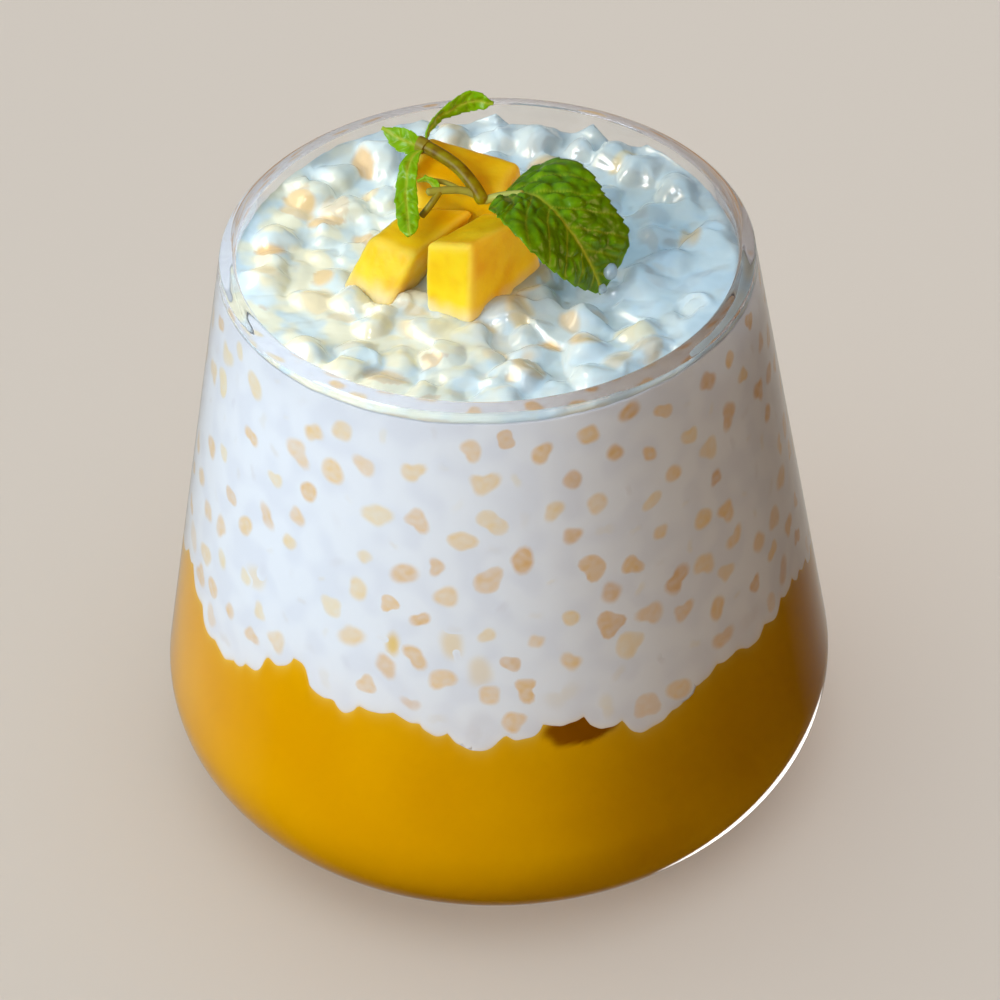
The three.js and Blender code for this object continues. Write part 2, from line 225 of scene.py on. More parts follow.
room = bpy.data.worlds.new("room")
scene.world = room
room.use_nodes = True
room.node_tree.nodes.clear()
tree = room.node_tree
view_way = add(tree, "ShaderNodeTexCoord").outputs["Generated"]
way = add(tree, "ShaderNodeSeparateXYZ", {0: view_way})
rightward = add(tree, "ShaderNodeMapRange", {"Value": way.outputs["X"], "From Min": -1.0})
walls = add(tree, "ShaderNodeValToRGB", {"Fac": rightward.outputs[0]}, stops=[
    (0.0, "dde6f0"), (0.42, "94a0b0"), (0.62, "94705a"), (1.0, "803c1a"),
])
leaning = add(tree, "ShaderNodeMath", {
    0: way.outputs["X"], 1: TABLE_LEAN, 2: way.outputs["Y"],
}, operation="MULTIPLY_ADD")
far = add(tree, "ShaderNodeMapRange", {"Value": leaning.outputs[0], "From Max": TABLE_REACH})
table = add(tree, "ShaderNodeValToRGB", {"Fac": far.outputs[0]}, stops=[
    (0.0, "2a2018"), (0.15, "33241a"), (0.4, "8c8078"), (0.75, "d8d0c4"),
])
downward = add(tree, "ShaderNodeMapRange", {"Value": way.outputs["Z"], "From Max": TABLE_DEPTH})
around = add(tree, "ShaderNodeMix", {
    0: downward.outputs[0], 6: walls.outputs[0], 7: table.outputs[0],
}, data_type="RGBA")
shine = add(tree, "ShaderNodeBackground", {"Color": around.outputs[2], "Strength": ROOM_STRENGTH})
towards = add(tree, "ShaderNodeVectorMath", {0: view_way, 1: CARD_WAY}, operation="DOT_PRODUCT")
on_card = add(tree, "ShaderNodeMapRange", {
    "Value": towards.outputs["Value"], "From Min": CARD_EDGE[0], "From Max": CARD_EDGE[1],
})
card = add(tree, "ShaderNodeBackground", {"Color": linear("f8f8f4"), "Strength": CARD_STRENGTH})
both = add(tree, "ShaderNodeMixShader", {
    0: on_card.outputs[0], 1: shine.outputs[0], 2: card.outputs[0],
})
add(tree, "ShaderNodeOutputWorld", {"Surface": both.outputs[0]})
print("room of", len(tree.nodes), "nodes")

# %% [markdown]
# The glass is a pressed and fire-polished tumbler that widens towards its rounded base. All of it
# follows from a few sizes: the straight wall touches the base corner, so its lean is worked out.
# A lathe makes it best. Every round thing here is a stack of rings between two poles, so one
# function joins rings to a closed skin. Fire polishing leaves the crown of the rim round. Here it
# lies close to the inside, so that little light is trapped in the rim and its edge stays bright.

# %% Sizes of the glass
GLASS_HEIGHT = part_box("glass")[1].z / MM
RIM_RADIUS = 37.0
BASE_RADIUS = 35.0
BASE_CORNER = 15.0
WALL = 2.3
FLOOR_THICKNESS = 3.5
INNER_CORNER = 12.0

rise = GLASS_HEIGHT - BASE_CORNER
inset = RIM_RADIUS - BASE_RADIUS
WALL_LEAN = math.atan2(rise, inset) - math.acos(BASE_CORNER / math.hypot(rise, inset))


def wall_radius(height, depth):
    """Radius at a height of the cone that lies a depth below the outside of the wall."""
    reach = BASE_CORNER - depth + (BASE_CORNER - height) * math.sin(WALL_LEAN)
    return BASE_RADIUS + reach / math.cos(WALL_LEAN)


def inner_radius(height):
    """Radius of the inside of the straight wall at a height."""
    return wall_radius(height, WALL)


print("wall leans", round(math.degrees(WALL_LEAN), 2), "degrees")

# %% Rings to a closed skin
def full_turn(count):
    """Evenly spaced angles once round."""
    return 2 * np.pi * np.arange(count) / count


AROUND = 720
ANGLES = full_turn(AROUND)


def ring(radius, height, angles=ANGLES):
    """A ring of points; radius and height may change along it."""
    level = height + np.zeros(len(angles))
    return np.stack([radius * np.cos(angles), radius * np.sin(angles), level], axis=1)


def skin(rings, low_pole, high_pole):
    """Points and faces of a closed body from its lower pole over its rings to its upper pole."""
    points = np.vstack([[low_pole], *rings, [high_pole]])
    here = np.arange(AROUND)
    after = (here + 1) % AROUND
    faces = np.stack([0 * here, 1 + after, 1 + here], axis=1).tolist()
    for i in range(len(rings) - 1):
        low, high = 1 + i * AROUND, 1 + (i + 1) * AROUND
        faces += np.stack([low + here, low + after, high + after, high + here], axis=1).tolist()
    last = 1 + (len(rings) - 1) * AROUND
    faces += np.stack([last + here, last + after, 0 * here + len(points) - 1], axis=1).tolist()
    return points, faces


def new_piece(name, points, faces, material, node, slot, groups, **marks):
    """A smooth piece from points in millimetres that stands for a solid.

    Groups say which lamps light it. Marks are numbers per point, or lists of them for the shapes
    that the piece is joined from, and its material reads them.
    """
    mesh = bpy.data.meshes.new(name)
    mesh.from_pydata((np.asarray(points) * MM).tolist(), [], faces)
    mesh.materials.append(material)
    mesh.shade_smooth()
    for mark, values in marks.items():
        layer = mesh.attributes.new(mark, "FLOAT", "POINT")
        layer.data.foreach_set("value", np.asarray(values, dtype=np.float32).ravel())
    piece = bpy.data.objects.new(name, mesh)
    scene.collection.objects.link(piece)
    for group in groups:
        lit[group].objects.link(piece)
    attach(piece, "root")
    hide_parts(node)
    print(name, len(points), "points,", sum(len(f) - 2 for f in faces), "triangles")
    return piece


print("every ring has", AROUND, "points")

# %% Glass
CORNER_STEPS = 24
RIM_STEPS = 12
RIM_CROWN = 0.5


def soda_lime_glass():
    """Soda-lime glass, pressed and fire-polished: clear, sharp and bright at its edges."""
    material, tree = new_material("soda_lime_glass")
    clear = add(tree, "ShaderNodeBsdfPrincipled", {
        "Base Color": linear("fbfdfd"), "Roughness": 0.0, "IOR": 1.5, "Transmission Weight": 1.0,
    })
    add(tree, "ShaderNodeOutputMaterial", {"Surface": clear.outputs[0]})
    return material


def arc(centre, radius, start, end, steps):
    """Points along an arc of a profile, radius against height."""
    turns = np.linspace(start, end, steps + 1)
    return [(centre[0] + radius * math.cos(t), centre[1] + radius * math.sin(t)) for t in turns]


inner_corner_centre = (
    wall_radius(FLOOR_THICKNESS + INNER_CORNER, WALL + INNER_CORNER),
    FLOOR_THICKNESS + INNER_CORNER,
)
outer_edge, inner_edge = GLASS_HEIGHT - WALL / 2, GLASS_HEIGHT - RIM_CROWN
crown_radius = inner_radius(inner_edge) + RIM_CROWN
profile = arc((BASE_RADIUS, BASE_CORNER), BASE_CORNER, -math.pi / 2, WALL_LEAN, CORNER_STEPS)
for bend in np.linspace(0, math.pi / 2, RIM_STEPS):
    reach = (wall_radius(outer_edge, 0) - crown_radius) * math.cos(bend)
    profile.append((crown_radius + reach, outer_edge + WALL / 2 * math.sin(bend)))
profile += arc((crown_radius, inner_edge), RIM_CROWN, math.pi / 2, math.pi, RIM_STEPS // 2)[1:]
profile += arc(inner_corner_centre, INNER_CORNER, WALL_LEAN, -math.pi / 2, CORNER_STEPS)
glass_points, glass_faces = skin(
    [ring(radius, height) for radius, height in profile], (0, 0, 0), (0, 0, FLOOR_THICKNESS),
)
glass = new_piece("tumbler", glass_points, glass_faces, soda_lime_glass(), "glass", "clear_glass",
                  ["wall_only"])
glass.visible_shadow = False

# %% [markdown]
# The puree fills the glass without a gap of air, because it is wet. In a render the same thing is
# had when the filling reaches a little into the wall of the glass. The line between puree and
# pudding waves where the pudding was spooned in, and it is scalloped by the pearls that press
# into the puree. So the line is a sum of waves, with a row of uneven round lobes hung below it.

# %% Line between puree and pudding
PUREE_LEVEL = 36.7
# Waves round the glass: how many, how high and at which phase.
PUREE_WAVES = [(5, 1.0, -1.75), (8, 1.0, -0.37), (12, 1.5, -0.85)]
CREST_ANGLE, CREST_SPREAD, CREST_HEIGHT = math.radians(-130), math.radians(6), 7.6
LOBE_GAP = (2.6, 7.4)
LOBE_SHARE = (0.52, 0.70)
LOBE_STRAY = 0.5
LOBE_SHARPNESS = 1.15
LOBE_FLANK = 2.5
LINE_RAGGED, RAGGED_SIZE = 0.45, 2.0
LINE_RADIUS = inner_radius(PUREE_LEVEL)


def wrapped(angle):
    """The same angle between minus half a turn and half a turn."""
    return (np.asarray(angle) + np.pi) % (2 * np.pi) - np.pi


def uneven(points, size):
    """Smooth noise from -1 to 1 at points in millimetres, with lumps of a size."""
    return np.array([noise.noise(Vector(p) / size) for p in points])


def wavy_line(angle):
    """Height of the line at the glass before the lobes, the same waves as the solids have."""
    waves = sum(height * np.sin(count * angle + phase) for count, height, phase in PUREE_WAVES)
    crest = CREST_HEIGHT * np.exp(-(wrapped(angle - CREST_ANGLE) / CREST_SPREAD) ** 2)
    return PUREE_LEVEL + waves + crest


def scatter_lobes():
    """Angle, height of the middle and radius of the lobes in a row round the glass."""
    dice = np.random.default_rng(7)
    gaps = dice.uniform(*LOBE_GAP, 200)
    length = 2 * math.pi * LINE_RADIUS
    gaps = gaps[:np.searchsorted(np.cumsum(gaps), length)]
    gaps *= length / gaps.sum()
    angle = (np.cumsum(gaps) - gaps / 2) / LINE_RADIUS
    radius = gaps * dice.uniform(*LOBE_SHARE, len(gaps))
    stray = dice.uniform(-LOBE_STRAY, LOBE_STRAY, len(gaps))
    return angle, wavy_line(angle) + radius + stray, radius


def scalloped_line(angle):
    """Height of the line at the glass with the lobes of the pearls."""
    away = np.abs(wrapped(angle[:, None] - lobe_angle)) * LINE_RADIUS
    round_part = lobe_height - np.sqrt(np.clip(lobe_radius ** 2 - away ** 2, 0, None))
    low = round_part + LOBE_FLANK * np.clip(away - lobe_radius, 0, None)
    soft = np.exp(-LOBE_SHARPNESS * (low - PUREE_LEVEL)).sum(1)
    return PUREE_LEVEL - np.log(soft) / LOBE_SHARPNESS


lobe_angle, lobe_height, lobe_radius = scatter_lobes()
line = scalloped_line(ANGLES)
line += LINE_RAGGED * uneven(ring(LINE_RADIUS, line), RAGGED_SIZE)
print(len(lobe_angle), "lobes; line from", round(line.min(), 1), "to", round(line.max(), 1), "mm")

# %% [markdown]
# Sieved mango is smooth and opaque, and behind glass it has no wet surface of its own to shine. So
# the material has no gloss. It has slow clouds of two near yellows, and two marks per point: one
# for the milky edge below the cream, and one for a brown pocket of shade under the pearls.

# %% Sieved mango
def mango_puree():
    """Sieved mango: smooth and dense, an even deep yellow, milky where it meets the cream.

    A brown pocket marks a gap below the pearls, where the puree lies in shade.
    """
    material, tree = new_material("mango_puree")
    place = add(tree, "ShaderNodeTexCoord").outputs["Object"]
    cloud = add(tree, "ShaderNodeTexNoise", {
        "Vector": place, "Scale": 1 / (14 * MM), "Detail": 0.0,
    })
    colour = add(tree, "ShaderNodeValToRGB", {"Fac": cloud.outputs["Fac"]}, stops=[
        (0.3, "d29800"), (0.7, "d9a000"),
    ]).outputs[0]
    for mark, hue in (("milk", "ddb84c"), ("pocket", "854c00")):
        amount = add(tree, "ShaderNodeAttribute", attribute_name=mark)
        colour = add(tree, "ShaderNodeMix", {
            0: amount.outputs["Fac"], 6: colour, 7: linear(hue),
        }, data_type="RGBA").outputs[2]
    flesh = add(tree, "ShaderNodeBsdfPrincipled", {
        "Base Color": colour, "Roughness": 0.5, "Specular IOR Level": 0.0,
    })
    add(tree, "ShaderNodeOutputMaterial", {"Surface": flesh.outputs[0]})
    return material


sieved_mango = mango_puree()
print(sieved_mango.name, "with", len(sieved_mango.node_tree.nodes), "nodes")

# %% Puree
PUREE_REACH = 0.12
PUREE_OVERLAP = 1.5
PUREE_WALL_ROWS = 40
PUREE_TOP_SHARES = (0.9, 0.75, 0.5, 0.25)
MILK_STRENGTH, MILK_DEPTH = 0.6, 0.7
POCKET_ANGLE, POCKET_HEIGHT, POCKET_SIZE = math.radians(-75.5), 37.4, (5.6, 2.8)
POCKET_EDGE = (0.75, 1.05)


def smoothstep(low, high, value):
    """0 below low, 1 above high, and a smooth rise between them."""
    t = np.clip((value - low) / (high - low), 0, 1)
    return t * t * (3 - 2 * t)


def at_angle(values, angle):
    """Values along a ring, read off at any angle."""
    return np.interp(angle % (2 * math.pi), ANGLES, values, period=2 * math.pi)


foot = arc(inner_corner_centre, INNER_CORNER + PUREE_REACH, -math.pi / 2, WALL_LEAN, CORNER_STEPS)
rings = [ring(radius, height) for radius, height in foot]
top_of_foot = foot[-1][1]
for share in np.linspace(0, 1, PUREE_WALL_ROWS + 1)[1:]:
    height = top_of_foot + share * (line + PUREE_OVERLAP - top_of_foot)
    rings.append(ring(inner_radius(height) + PUREE_REACH, height))
for share in PUREE_TOP_SHARES:
    height = PUREE_LEVEL + (line + PUREE_OVERLAP - PUREE_LEVEL) * share ** 2
    rings.append(ring(share * LINE_RADIUS, height))
points, faces = skin(rings, (0, 0, FLOOR_THICKNESS - PUREE_REACH), (0, 0, PUREE_LEVEL))
turn = np.arctan2(points[:, 1], points[:, 0])
below_line = at_angle(line, turn) - points[:, 2]
milk = MILK_STRENGTH * np.exp(-np.clip(below_line, 0, None) / MILK_DEPTH)
aside = wrapped(turn - POCKET_ANGLE) * LINE_RADIUS / POCKET_SIZE[0]
above = (points[:, 2] - POCKET_HEIGHT) / POCKET_SIZE[1]
pocket = 1 - smoothstep(*POCKET_EDGE, np.hypot(aside, above) + 0.2 * uneven(points, 2.0))
new_piece("puree", points, faces, sieved_mango, "mango_puree", "mango_puree", ["filling_only"],
          milk=milk, pocket=pocket)

# %% [markdown]
# Cooked tapioca pearls are clear, jelly-like balls about five millimetres across. On top of the
# pudding they lie half in the cream, nearly all under a coat of it. First their places are settled:
# a row along the glass, then as many as fit inside it, each kept a little away from the others.
# The pieces of mango are listed here already, because the pearls keep clear of them. Seeded dice
# make the same heap each time.

# %% Level of the cream and places of the mango
PUDDING_LEVEL = 82.6
PUDDING_TILT = 0.03
PUDDING_WALL_RISE = 1.8
TOP_RADIUS = 35.0
# Middle of the foot, turn, size; then how the top is shifted, sloped and narrowed; a skewed end.
MANGO_PIECES = {
    "left": ((-12.6, 0.7, 83.3), 52, (16.8, 8.0, 8.1), (3.4, -2.2), (0, 0), (0.8, 1.0), 4.6),
    "front": (
        (-0.5, -4.0, 83.5), 52, (17.5, 7.6, 11.1), (-0.6, 0.4), (-1.2, -1.5), (0.75, 1.05), 0,
    ),
    "back": ((-1.6, 11.9, 82.7), -21, (13.6, 8.6, 13.1), (0, -3.5), (-0.9, 0.6), (1.0, 0.95), 0),
}


def cream_level(x, y):
    """Height of the cream between the pearls: higher at the front and along the glass."""
    rise = (np.hypot(x, y) / TOP_RADIUS) ** 4
    return PUDDING_LEVEL - PUDDING_TILT * y + PUDDING_WALL_RISE * rise


def away_from_mango(x, y):
    """Distance in plan from the nearest piece of mango."""
    best = np.inf
    for place, turn, size, *_ in MANGO_PIECES.values():
        c, s = math.cos(math.radians(turn)), math.sin(math.radians(turn))
        along = abs(c * (x - place[0]) + s * (y - place[1])) - size[0] / 2
        beside = abs(c * (y - place[1]) - s * (x - place[0])) - size[1] / 2
        best = min(best, math.hypot(max(along, 0), max(beside, 0)))
    return best


print("cream stands", round(float(cream_level(0, 0)), 1), "mm high in the middle")

# %% Places of the pearls on top
PEARL_RADIUS = (2.3, 3.2)
PEARL_SUNK, PEARL_STRAY = 0.75, 0.95
PEARL_SPACING, SPACING_STRAY = 5.3, (-0.3, 0.5)
ROW_SPARE, ROW_STRAY, ROW_DEPTH = 0.6, 0.25, 0.8
TRIES = 9000
BANK_LIFT = 2.0
# Lowest and highest x, then y, of the spot that stays below the bank at the back.
LOW_SPOT = (-3.0, 13.0, 18.5, 26.5)
MANGO_GAP = 1.2


def scatter_top():
    """Rows of x, y, z and radius for the pearls that show on top."""
    dice = np.random.default_rng(23)
    reach = inner_radius(GLASS_HEIGHT) - PEARL_RADIUS[1]
    places = []
    count = int(2 * math.pi * reach / (PEARL_SPACING + ROW_SPARE))
    for i in range(count):
        turn = 2 * math.pi * (i + dice.uniform(-ROW_STRAY, ROW_STRAY)) / count
        away = reach - dice.uniform(0, ROW_DEPTH)
        places.append((away * math.cos(turn), away * math.sin(turn)))
    for _ in range(TRIES):
        x, y = dice.uniform(-reach, reach, 2)
        if math.hypot(x, y) > reach - 1 or away_from_mango(x, y) < MANGO_GAP:
            continue
        spacing = PEARL_SPACING + dice.uniform(*SPACING_STRAY)
        if min(math.hypot(x - u, y - v) for u, v in places) > spacing:
            places.append((x, y))
    pearls = []
    for x, y in places:
        low = LOW_SPOT[0] < x < LOW_SPOT[1] and LOW_SPOT[2] < y < LOW_SPOT[3]
        bank = 0 if low else BANK_LIFT * max(0, y / TOP_RADIUS) ** 2
        z = cream_level(x, y) - PEARL_SUNK + bank + dice.uniform(-PEARL_STRAY, PEARL_STRAY)
        pearls.append((x, y, z, dice.uniform(*PEARL_RADIUS)))
    return np.array(pearls)


top_pearls = scatter_top()
print(len(top_pearls), "pearls show on top")

# %% [markdown]
# The cream drapes over the pearls. It is a height field: at each point the highest of the coated
# pearls and the cream level wins, and a soft maximum rounds the valleys between them, as cream
# does. Thick cream lies on it in sheets with a lobed lip, and where there is no sheet the coat is
# thin and the pearls look through. A film of cream climbs the glass nearly to its rim.

# %% Cream over the pearls
# Coat on a pearl and fill between pearls, each beside a sheet of thick cream and under one.
COAT = (0.25, 0.9)
FILL = (1.4, 2.1)
BARE_SHARE, BARE_COAT = 0.10, -0.55
BARE_FROM, BARE_OVER = 6.0, 26.0
DRAPE_SHARPNESS = 1.2
DRAPE_WARP, WARP_SIZE = 1.7, 5.0
DOME_FLANK = 3
SHEET_SIZE, SHEET_LEAN, SHEET_LIP = 9.0, 0.3, (-0.08, 0.10)
FINE_LUMPS = ((0.16, 2.4), (0.05, 1.1))

bare_dice = np.random.default_rng(5)
left_share = np.clip((BARE_FROM - top_pearls[:, 0]) / BARE_OVER, 0, 1)
bare = bare_dice.uniform(size=len(top_pearls)) < BARE_SHARE * left_share


def sheet(places):
    """1 where the cream lies thick, 0 beside it, and a quick rise at the lip of the sheet."""
    field = uneven(places, SHEET_SIZE) + 0.35 * uneven(places + 31, SHEET_SIZE / 3)
    return smoothstep(*SHEET_LIP, field + SHEET_LEAN * places[:, 0] / TOP_RADIUS)


def lumpy(points, lumps):
    """Smooth noise in several pairs of a height and a size, added up."""
    return sum(height * uneven(points, size) for height, size in lumps)


def drape(x, y):
    """Height of the cream over the pearls, without the film on the glass."""
    places = np.stack([x, y, np.zeros_like(x)], axis=1)
    thick = sheet(places)
    level = cream_level(x, y) + FILL[0] + (FILL[1] - FILL[0]) * thick
    film = COAT[0] + (COAT[1] - COAT[0]) * thick
    x = x + DRAPE_WARP * uneven(places + 11, WARP_SIZE)
    y = y + DRAPE_WARP * uneven(places + 50, WARP_SIZE)
    total = np.exp(DRAPE_SHARPNESS * (level - PUDDING_LEVEL))
    for (px, py, pz, radius), uncoated in zip(top_pearls, bare):
        reach = radius + (BARE_COAT if uncoated else film)
        away = np.hypot(x - px, y - py)
        dome = np.sqrt(np.clip(reach ** 2 - away ** 2, 0, None))
        dome = dome - DOME_FLANK * np.clip(away - reach, 0, None)
        total = total + np.exp(DRAPE_SHARPNESS * (pz + dome - PUDDING_LEVEL))
    return PUDDING_LEVEL + np.log(total) / DRAPE_SHARPNESS + lumpy(places, FINE_LUMPS)


print(int(bare.sum()), "of", len(bare), "pearls are bare")

# %% Edge of the cream on the glass
# Degrees round the glass, and how far below the rim the film ends.
FILM_DROP = {
    -180: 3.4, -150: 3.2, -120: 3.0, -90: 2.9, -62: 3.0, -38: 3.0, -20: 3.6, 0: 3.8,
    20: 3.4, 40: 2.4, 48: 2.0, 53: 4.5, 59: 4.5, 63: 2.0, 69: 5.0, 83: 5.0,
    87: 2.0, 94: 4.2, 100: 4.2, 105: 2.0, 140: 2.4, 180: 3.4,
}
LEAST_DROP = 1.3
FILM_LUMPS = ((0.5, 5.0), (0.25, 1.8))
CALM_SHARE, CALM_FRONT = 0.25, (-0.6, 0.2)

wall_places = ring(inner_radius(GLASS_HEIGHT), 0)
film_drop = np.interp(np.degrees(wrapped(ANGLES)), list(FILM_DROP), list(FILM_DROP.values()))
rough = CALM_SHARE + (1 - CALM_SHARE) * smoothstep(*CALM_FRONT, np.sin(ANGLES))
film_drop += lumpy(wall_places, FILM_LUMPS) * rough
lumps_at_wall = drape(wall_places[:, 0], wall_places[:, 1])
edge = GLASS_HEIGHT - np.clip(film_drop, LEAST_DROP, None)
print("cream meets the glass between", round(edge.min(), 1), "and", round(edge.max(), 1), "mm")

# %% [markdown]
# Cream is white and wet. Behind the glass it has no surface of its own to shine, so there its
# material has no gloss. Where a pearl lies just below, the cream turns tan, and where the puree
# has run into it, yellow. Tan in the low valleys on top is partly painted shade, and the grey of
# faint pearls at the glass is painted shade. All come as numbers per point, so that the colour goes
# with the form.

# %% Cream
# Two whites, then the tones of a pearl: first a grey, painted shade over pearls that lie deeper,
# then tans from pale to dark.
WET_COLOURS = ("b4c4c9", "becdd1"), ("c4ccd0", "d6d0ae", "ccb688", "bd9a60")
GLAZED_COLOURS = ("d0d4d7", "d6dadb"), ("c4c5ca", "dccfa6", "d8b988", "c9a06a")


def cream(name, wet):
    """Thick sweet cream: white, tan over a pearl; on top wet and with a deep soft glow."""
    whites, tans = WET_COLOURS if wet else GLAZED_COLOURS
    material, tree = new_material(name)
    place = add(tree, "ShaderNodeTexCoord").outputs["Object"]
    cloud = add(tree, "ShaderNodeTexNoise", {
        "Vector": place, "Scale": 1 / (4 * MM), "Detail": 0.0,
    })
    white = add(tree, "ShaderNodeValToRGB", {"Fac": cloud.outputs["Fac"]}, stops=[
        (0.35, whites[0]), (0.6, whites[1]),
    ])
    tone = add(tree, "ShaderNodeAttribute", attribute_name="tone")
    jelly = add(tree, "ShaderNodeValToRGB", {"Fac": tone.outputs["Fac"]}, stops=[
        (0.0, tans[0]), (0.12, tans[1]), (0.5, tans[2]), (1.0, tans[3]),
    ])
    tint = add(tree, "ShaderNodeAttribute", attribute_name="tint")
    pearly = add(tree, "ShaderNodeMix", {
        0: tint.outputs["Fac"], 6: white.outputs[0], 7: jelly.outputs[0],
    }, data_type="RGBA")
    stain = add(tree, "ShaderNodeAttribute", attribute_name="stain")
    colour = add(tree, "ShaderNodeMix", {
        0: stain.outputs["Fac"], 6: pearly.outputs[2], 7: linear("d8b244"),
    }, data_type="RGBA")
    gloss = {"Roughness": 0.6, "Specular IOR Level": 0.0}
    if wet:
        grain = add(tree, "ShaderNodeTexNoise", {
            "Vector": place, "Scale": 1 / (0.9 * MM), "Detail": 0.0,
        })
        relief = add(tree, "ShaderNodeBump", {
            "Height": grain.outputs["Fac"], "Strength": 0.12, "Distance": 0.2 * MM,
        })
        gloss = {
            "Roughness": 0.1, "Specular IOR Level": 0.9, "Normal": relief.outputs[0],
            "Subsurface Weight": 0.7, "Subsurface Radius": (1.0, 0.9, 0.8),
            "Subsurface Scale": 4 * MM,
        }
    body = add(tree, "ShaderNodeBsdfPrincipled", {"Base Color": colour.outputs[2], **gloss},
               subsurface_method="BURLEY")
    add(tree, "ShaderNodeOutputMaterial", {"Surface": body.outputs[0]})
    return material


print("white of the cream on top", WET_COLOURS[0][1], "and behind the glass", GLAZED_COLOURS[0][1])

# %% Cream along the glass
CREAM_REACH, CREAM_STEP, STEP_HEIGHT = 0.12, 0.02, 0.4
BODY_DEPTH, BODY_SHARES = 2, (0.25, 0.5, 0.75, 0.92)
LINE_STEPS, WALL_START = (-1.4, -0.8, -0.35, 0.0, 0.3, 0.65), 1.0
BODY_ROWS = 112
UNDERSIDE, LID_EDGE = 79.0, 80.0
BODY_LID = ((0.97, LID_EDGE), (0.6, UNDERSIDE), (0.3, UNDERSIDE))
LINE_STAIN, STAIN_DEPTH = 0.7, 0.35
STAIN_EDGE = (0.3, 1.1)
# Angle, height, half width, half height and strength.
STAINS = [
    (-142.0, 51.6, 2.6, 2.4, 0.35), (-109.8, 51.0, 1.3, 2.4, 0.8),
    (-98.5, 52.5, 2.2, 3.2, 0.45), (-93.5, 48.0, 2.2, 3.0, 0.35),
]


def body_ring(height, over_line):
    """A ring of the cream at the wall; below the line it steps back behind the puree."""
    step = CREAM_STEP * np.tanh(over_line / STEP_HEIGHT)
    return ring(inner_radius(height) + CREAM_REACH + step, height)


rings = []
for share in BODY_SHARES:
    height = PUREE_LEVEL - BODY_DEPTH + (line - PUREE_LEVEL) * share ** 2
    rings.append(ring(share * LINE_RADIUS, height))
for over in LINE_STEPS:
    rings.append(body_ring(line + over, over))
for share in np.linspace(0, 1, BODY_ROWS):
    over = WALL_START + share * (edge - line - WALL_START)
    rings.append(body_ring(line + over, over))
for share, height in BODY_LID:
    rings.append(ring(share * inner_radius(LID_EDGE), height))
points, faces = skin(rings, (0, 0, PUREE_LEVEL - BODY_DEPTH), (0, 0, UNDERSIDE))
turn = np.arctan2(points[:, 1], points[:, 0])
over_line = points[:, 2] - at_angle(line, turn)
cloudy = 0.5 + 0.5 * uneven(points, 3.0)
stain = LINE_STAIN * np.exp(-np.clip(over_line, 0, None) / STAIN_DEPTH) * cloudy
for angle, height, wide, tall, strength in STAINS:
    aside = wrapped(turn - math.radians(angle)) * np.hypot(points[:, 0], points[:, 1]) / wide
    away = np.hypot(aside, (points[:, 2] - height) / tall) + 0.5 * (cloudy - 0.5)
    stain = np.maximum(stain, strength * (1 - smoothstep(*STAIN_EDGE, away)))
new_piece("pudding_body", points, faces, cream("cream_behind_glass", False), "tapioca_pudding",
          "tapioca_cream", ["wall_only", "filling_only"], stain=stain)

# %% [markdown]
# Where the coat is thin, tan jelly shows through the cream as through a window. A volume would do
# that by itself, but it renders slowly. So seeded dice choose a side for the window of each pearl,
# and every point near it gets two numbers: how much shows, and how dark.

# %% Windows in the cream
VEIL_SIDE, VEIL_TINT, VEIL_TONE = (12, -20), (0.15, 0.62), 0.12
# Low valleys on top turn tan, partly for pearls that show and partly as painted shade.
VALLEY_SHADE_HEIGHT, VALLEY_SHADE_TINT, VALLEY_SHADE_TONE = (1.5, 0.7), 0.6, 0.45
WINDOW_LIFT, WINDOW_HALF, WINDOW_EDGE = 60, (25, 60), 9
WINDOW_REACH, WINDOW_DEPTH = 2.2, (1.0, 2.0)
WINDOW_STRENGTH, WINDOW_SHADE = (0.5, 1.0), (0.2, 0.9)
HIDDEN_SHARE, HIDDEN_MORE, HIDDEN_FROM, HIDDEN_TINT = 0.25, 0.2, 4, 0.2
THIN_COAT, THIN_TINT = 0.55, 0.8


def window_tint(points):
    """How much tan shows on top and its tone: pearls through a thin coat, painted shade in valleys.
    """
    dice = np.random.default_rng(41)
    patches = smoothstep(-0.35, 0.2, uneven(points, 4.5) + 0.4 * uneven(points, 1.6))
    left = smoothstep(*VEIL_SIDE, points[:, 0] + np.maximum(points[:, 1], 0))
    tint = (VEIL_TINT[0] + VEIL_TINT[1] * left) * patches
    tone = np.full(len(points), VEIL_TONE)
    # Painted shade: low places between the pearls are tinted tan, where pearls also show.
    over = points[:, 2] - cream_level(points[:, 0], points[:, 1])
    pooled = smoothstep(-0.3, 0.3, uneven(points, 6.0))
    valley_shade = VALLEY_SHADE_TINT * smoothstep(*VALLEY_SHADE_HEIGHT, over) * pooled
    tone[valley_shade > tint] = VALLEY_SHADE_TONE
    tint = np.maximum(tint, valley_shade)
    for x, y, z, radius in top_pearls:
        turn, lift = dice.uniform(0, 2 * np.pi), math.radians(dice.uniform(0, WINDOW_LIFT))
        half = dice.uniform(*WINDOW_HALF)
        strength, shade = dice.uniform(*WINDOW_STRENGTH), dice.uniform(*WINDOW_SHADE)
        if dice.uniform() < HIDDEN_SHARE + HIDDEN_MORE * (x > HIDDEN_FROM):
            strength *= HIDDEN_TINT
        level = math.cos(lift)
        facing = np.array([math.cos(turn) * level, math.sin(turn) * level, math.sin(lift)])
        arm = points - (x, y, z)
        away = np.linalg.norm(arm, axis=1)
        near = away < radius + WINDOW_REACH
        depth = away[near] - radius
        cosine = arm[near] @ facing / np.maximum(away[near], 1e-6)
        low = math.cos(math.radians(half + WINDOW_EDGE))
        high = math.cos(math.radians(half - WINDOW_EDGE))
        here = strength * smoothstep(low, high, cosine) * (1 - smoothstep(*WINDOW_DEPTH, depth))
        thin = THIN_TINT * strength * (1 - smoothstep(0.0, THIN_COAT, depth))
        here = np.maximum(here, thin)
        better = here > tint[near]
        shown = np.flatnonzero(near)[better]
        tint[shown] = here[better]
        tone[shown] = shade
    return tint, tone


print("windows for", len(top_pearls), "pearls")

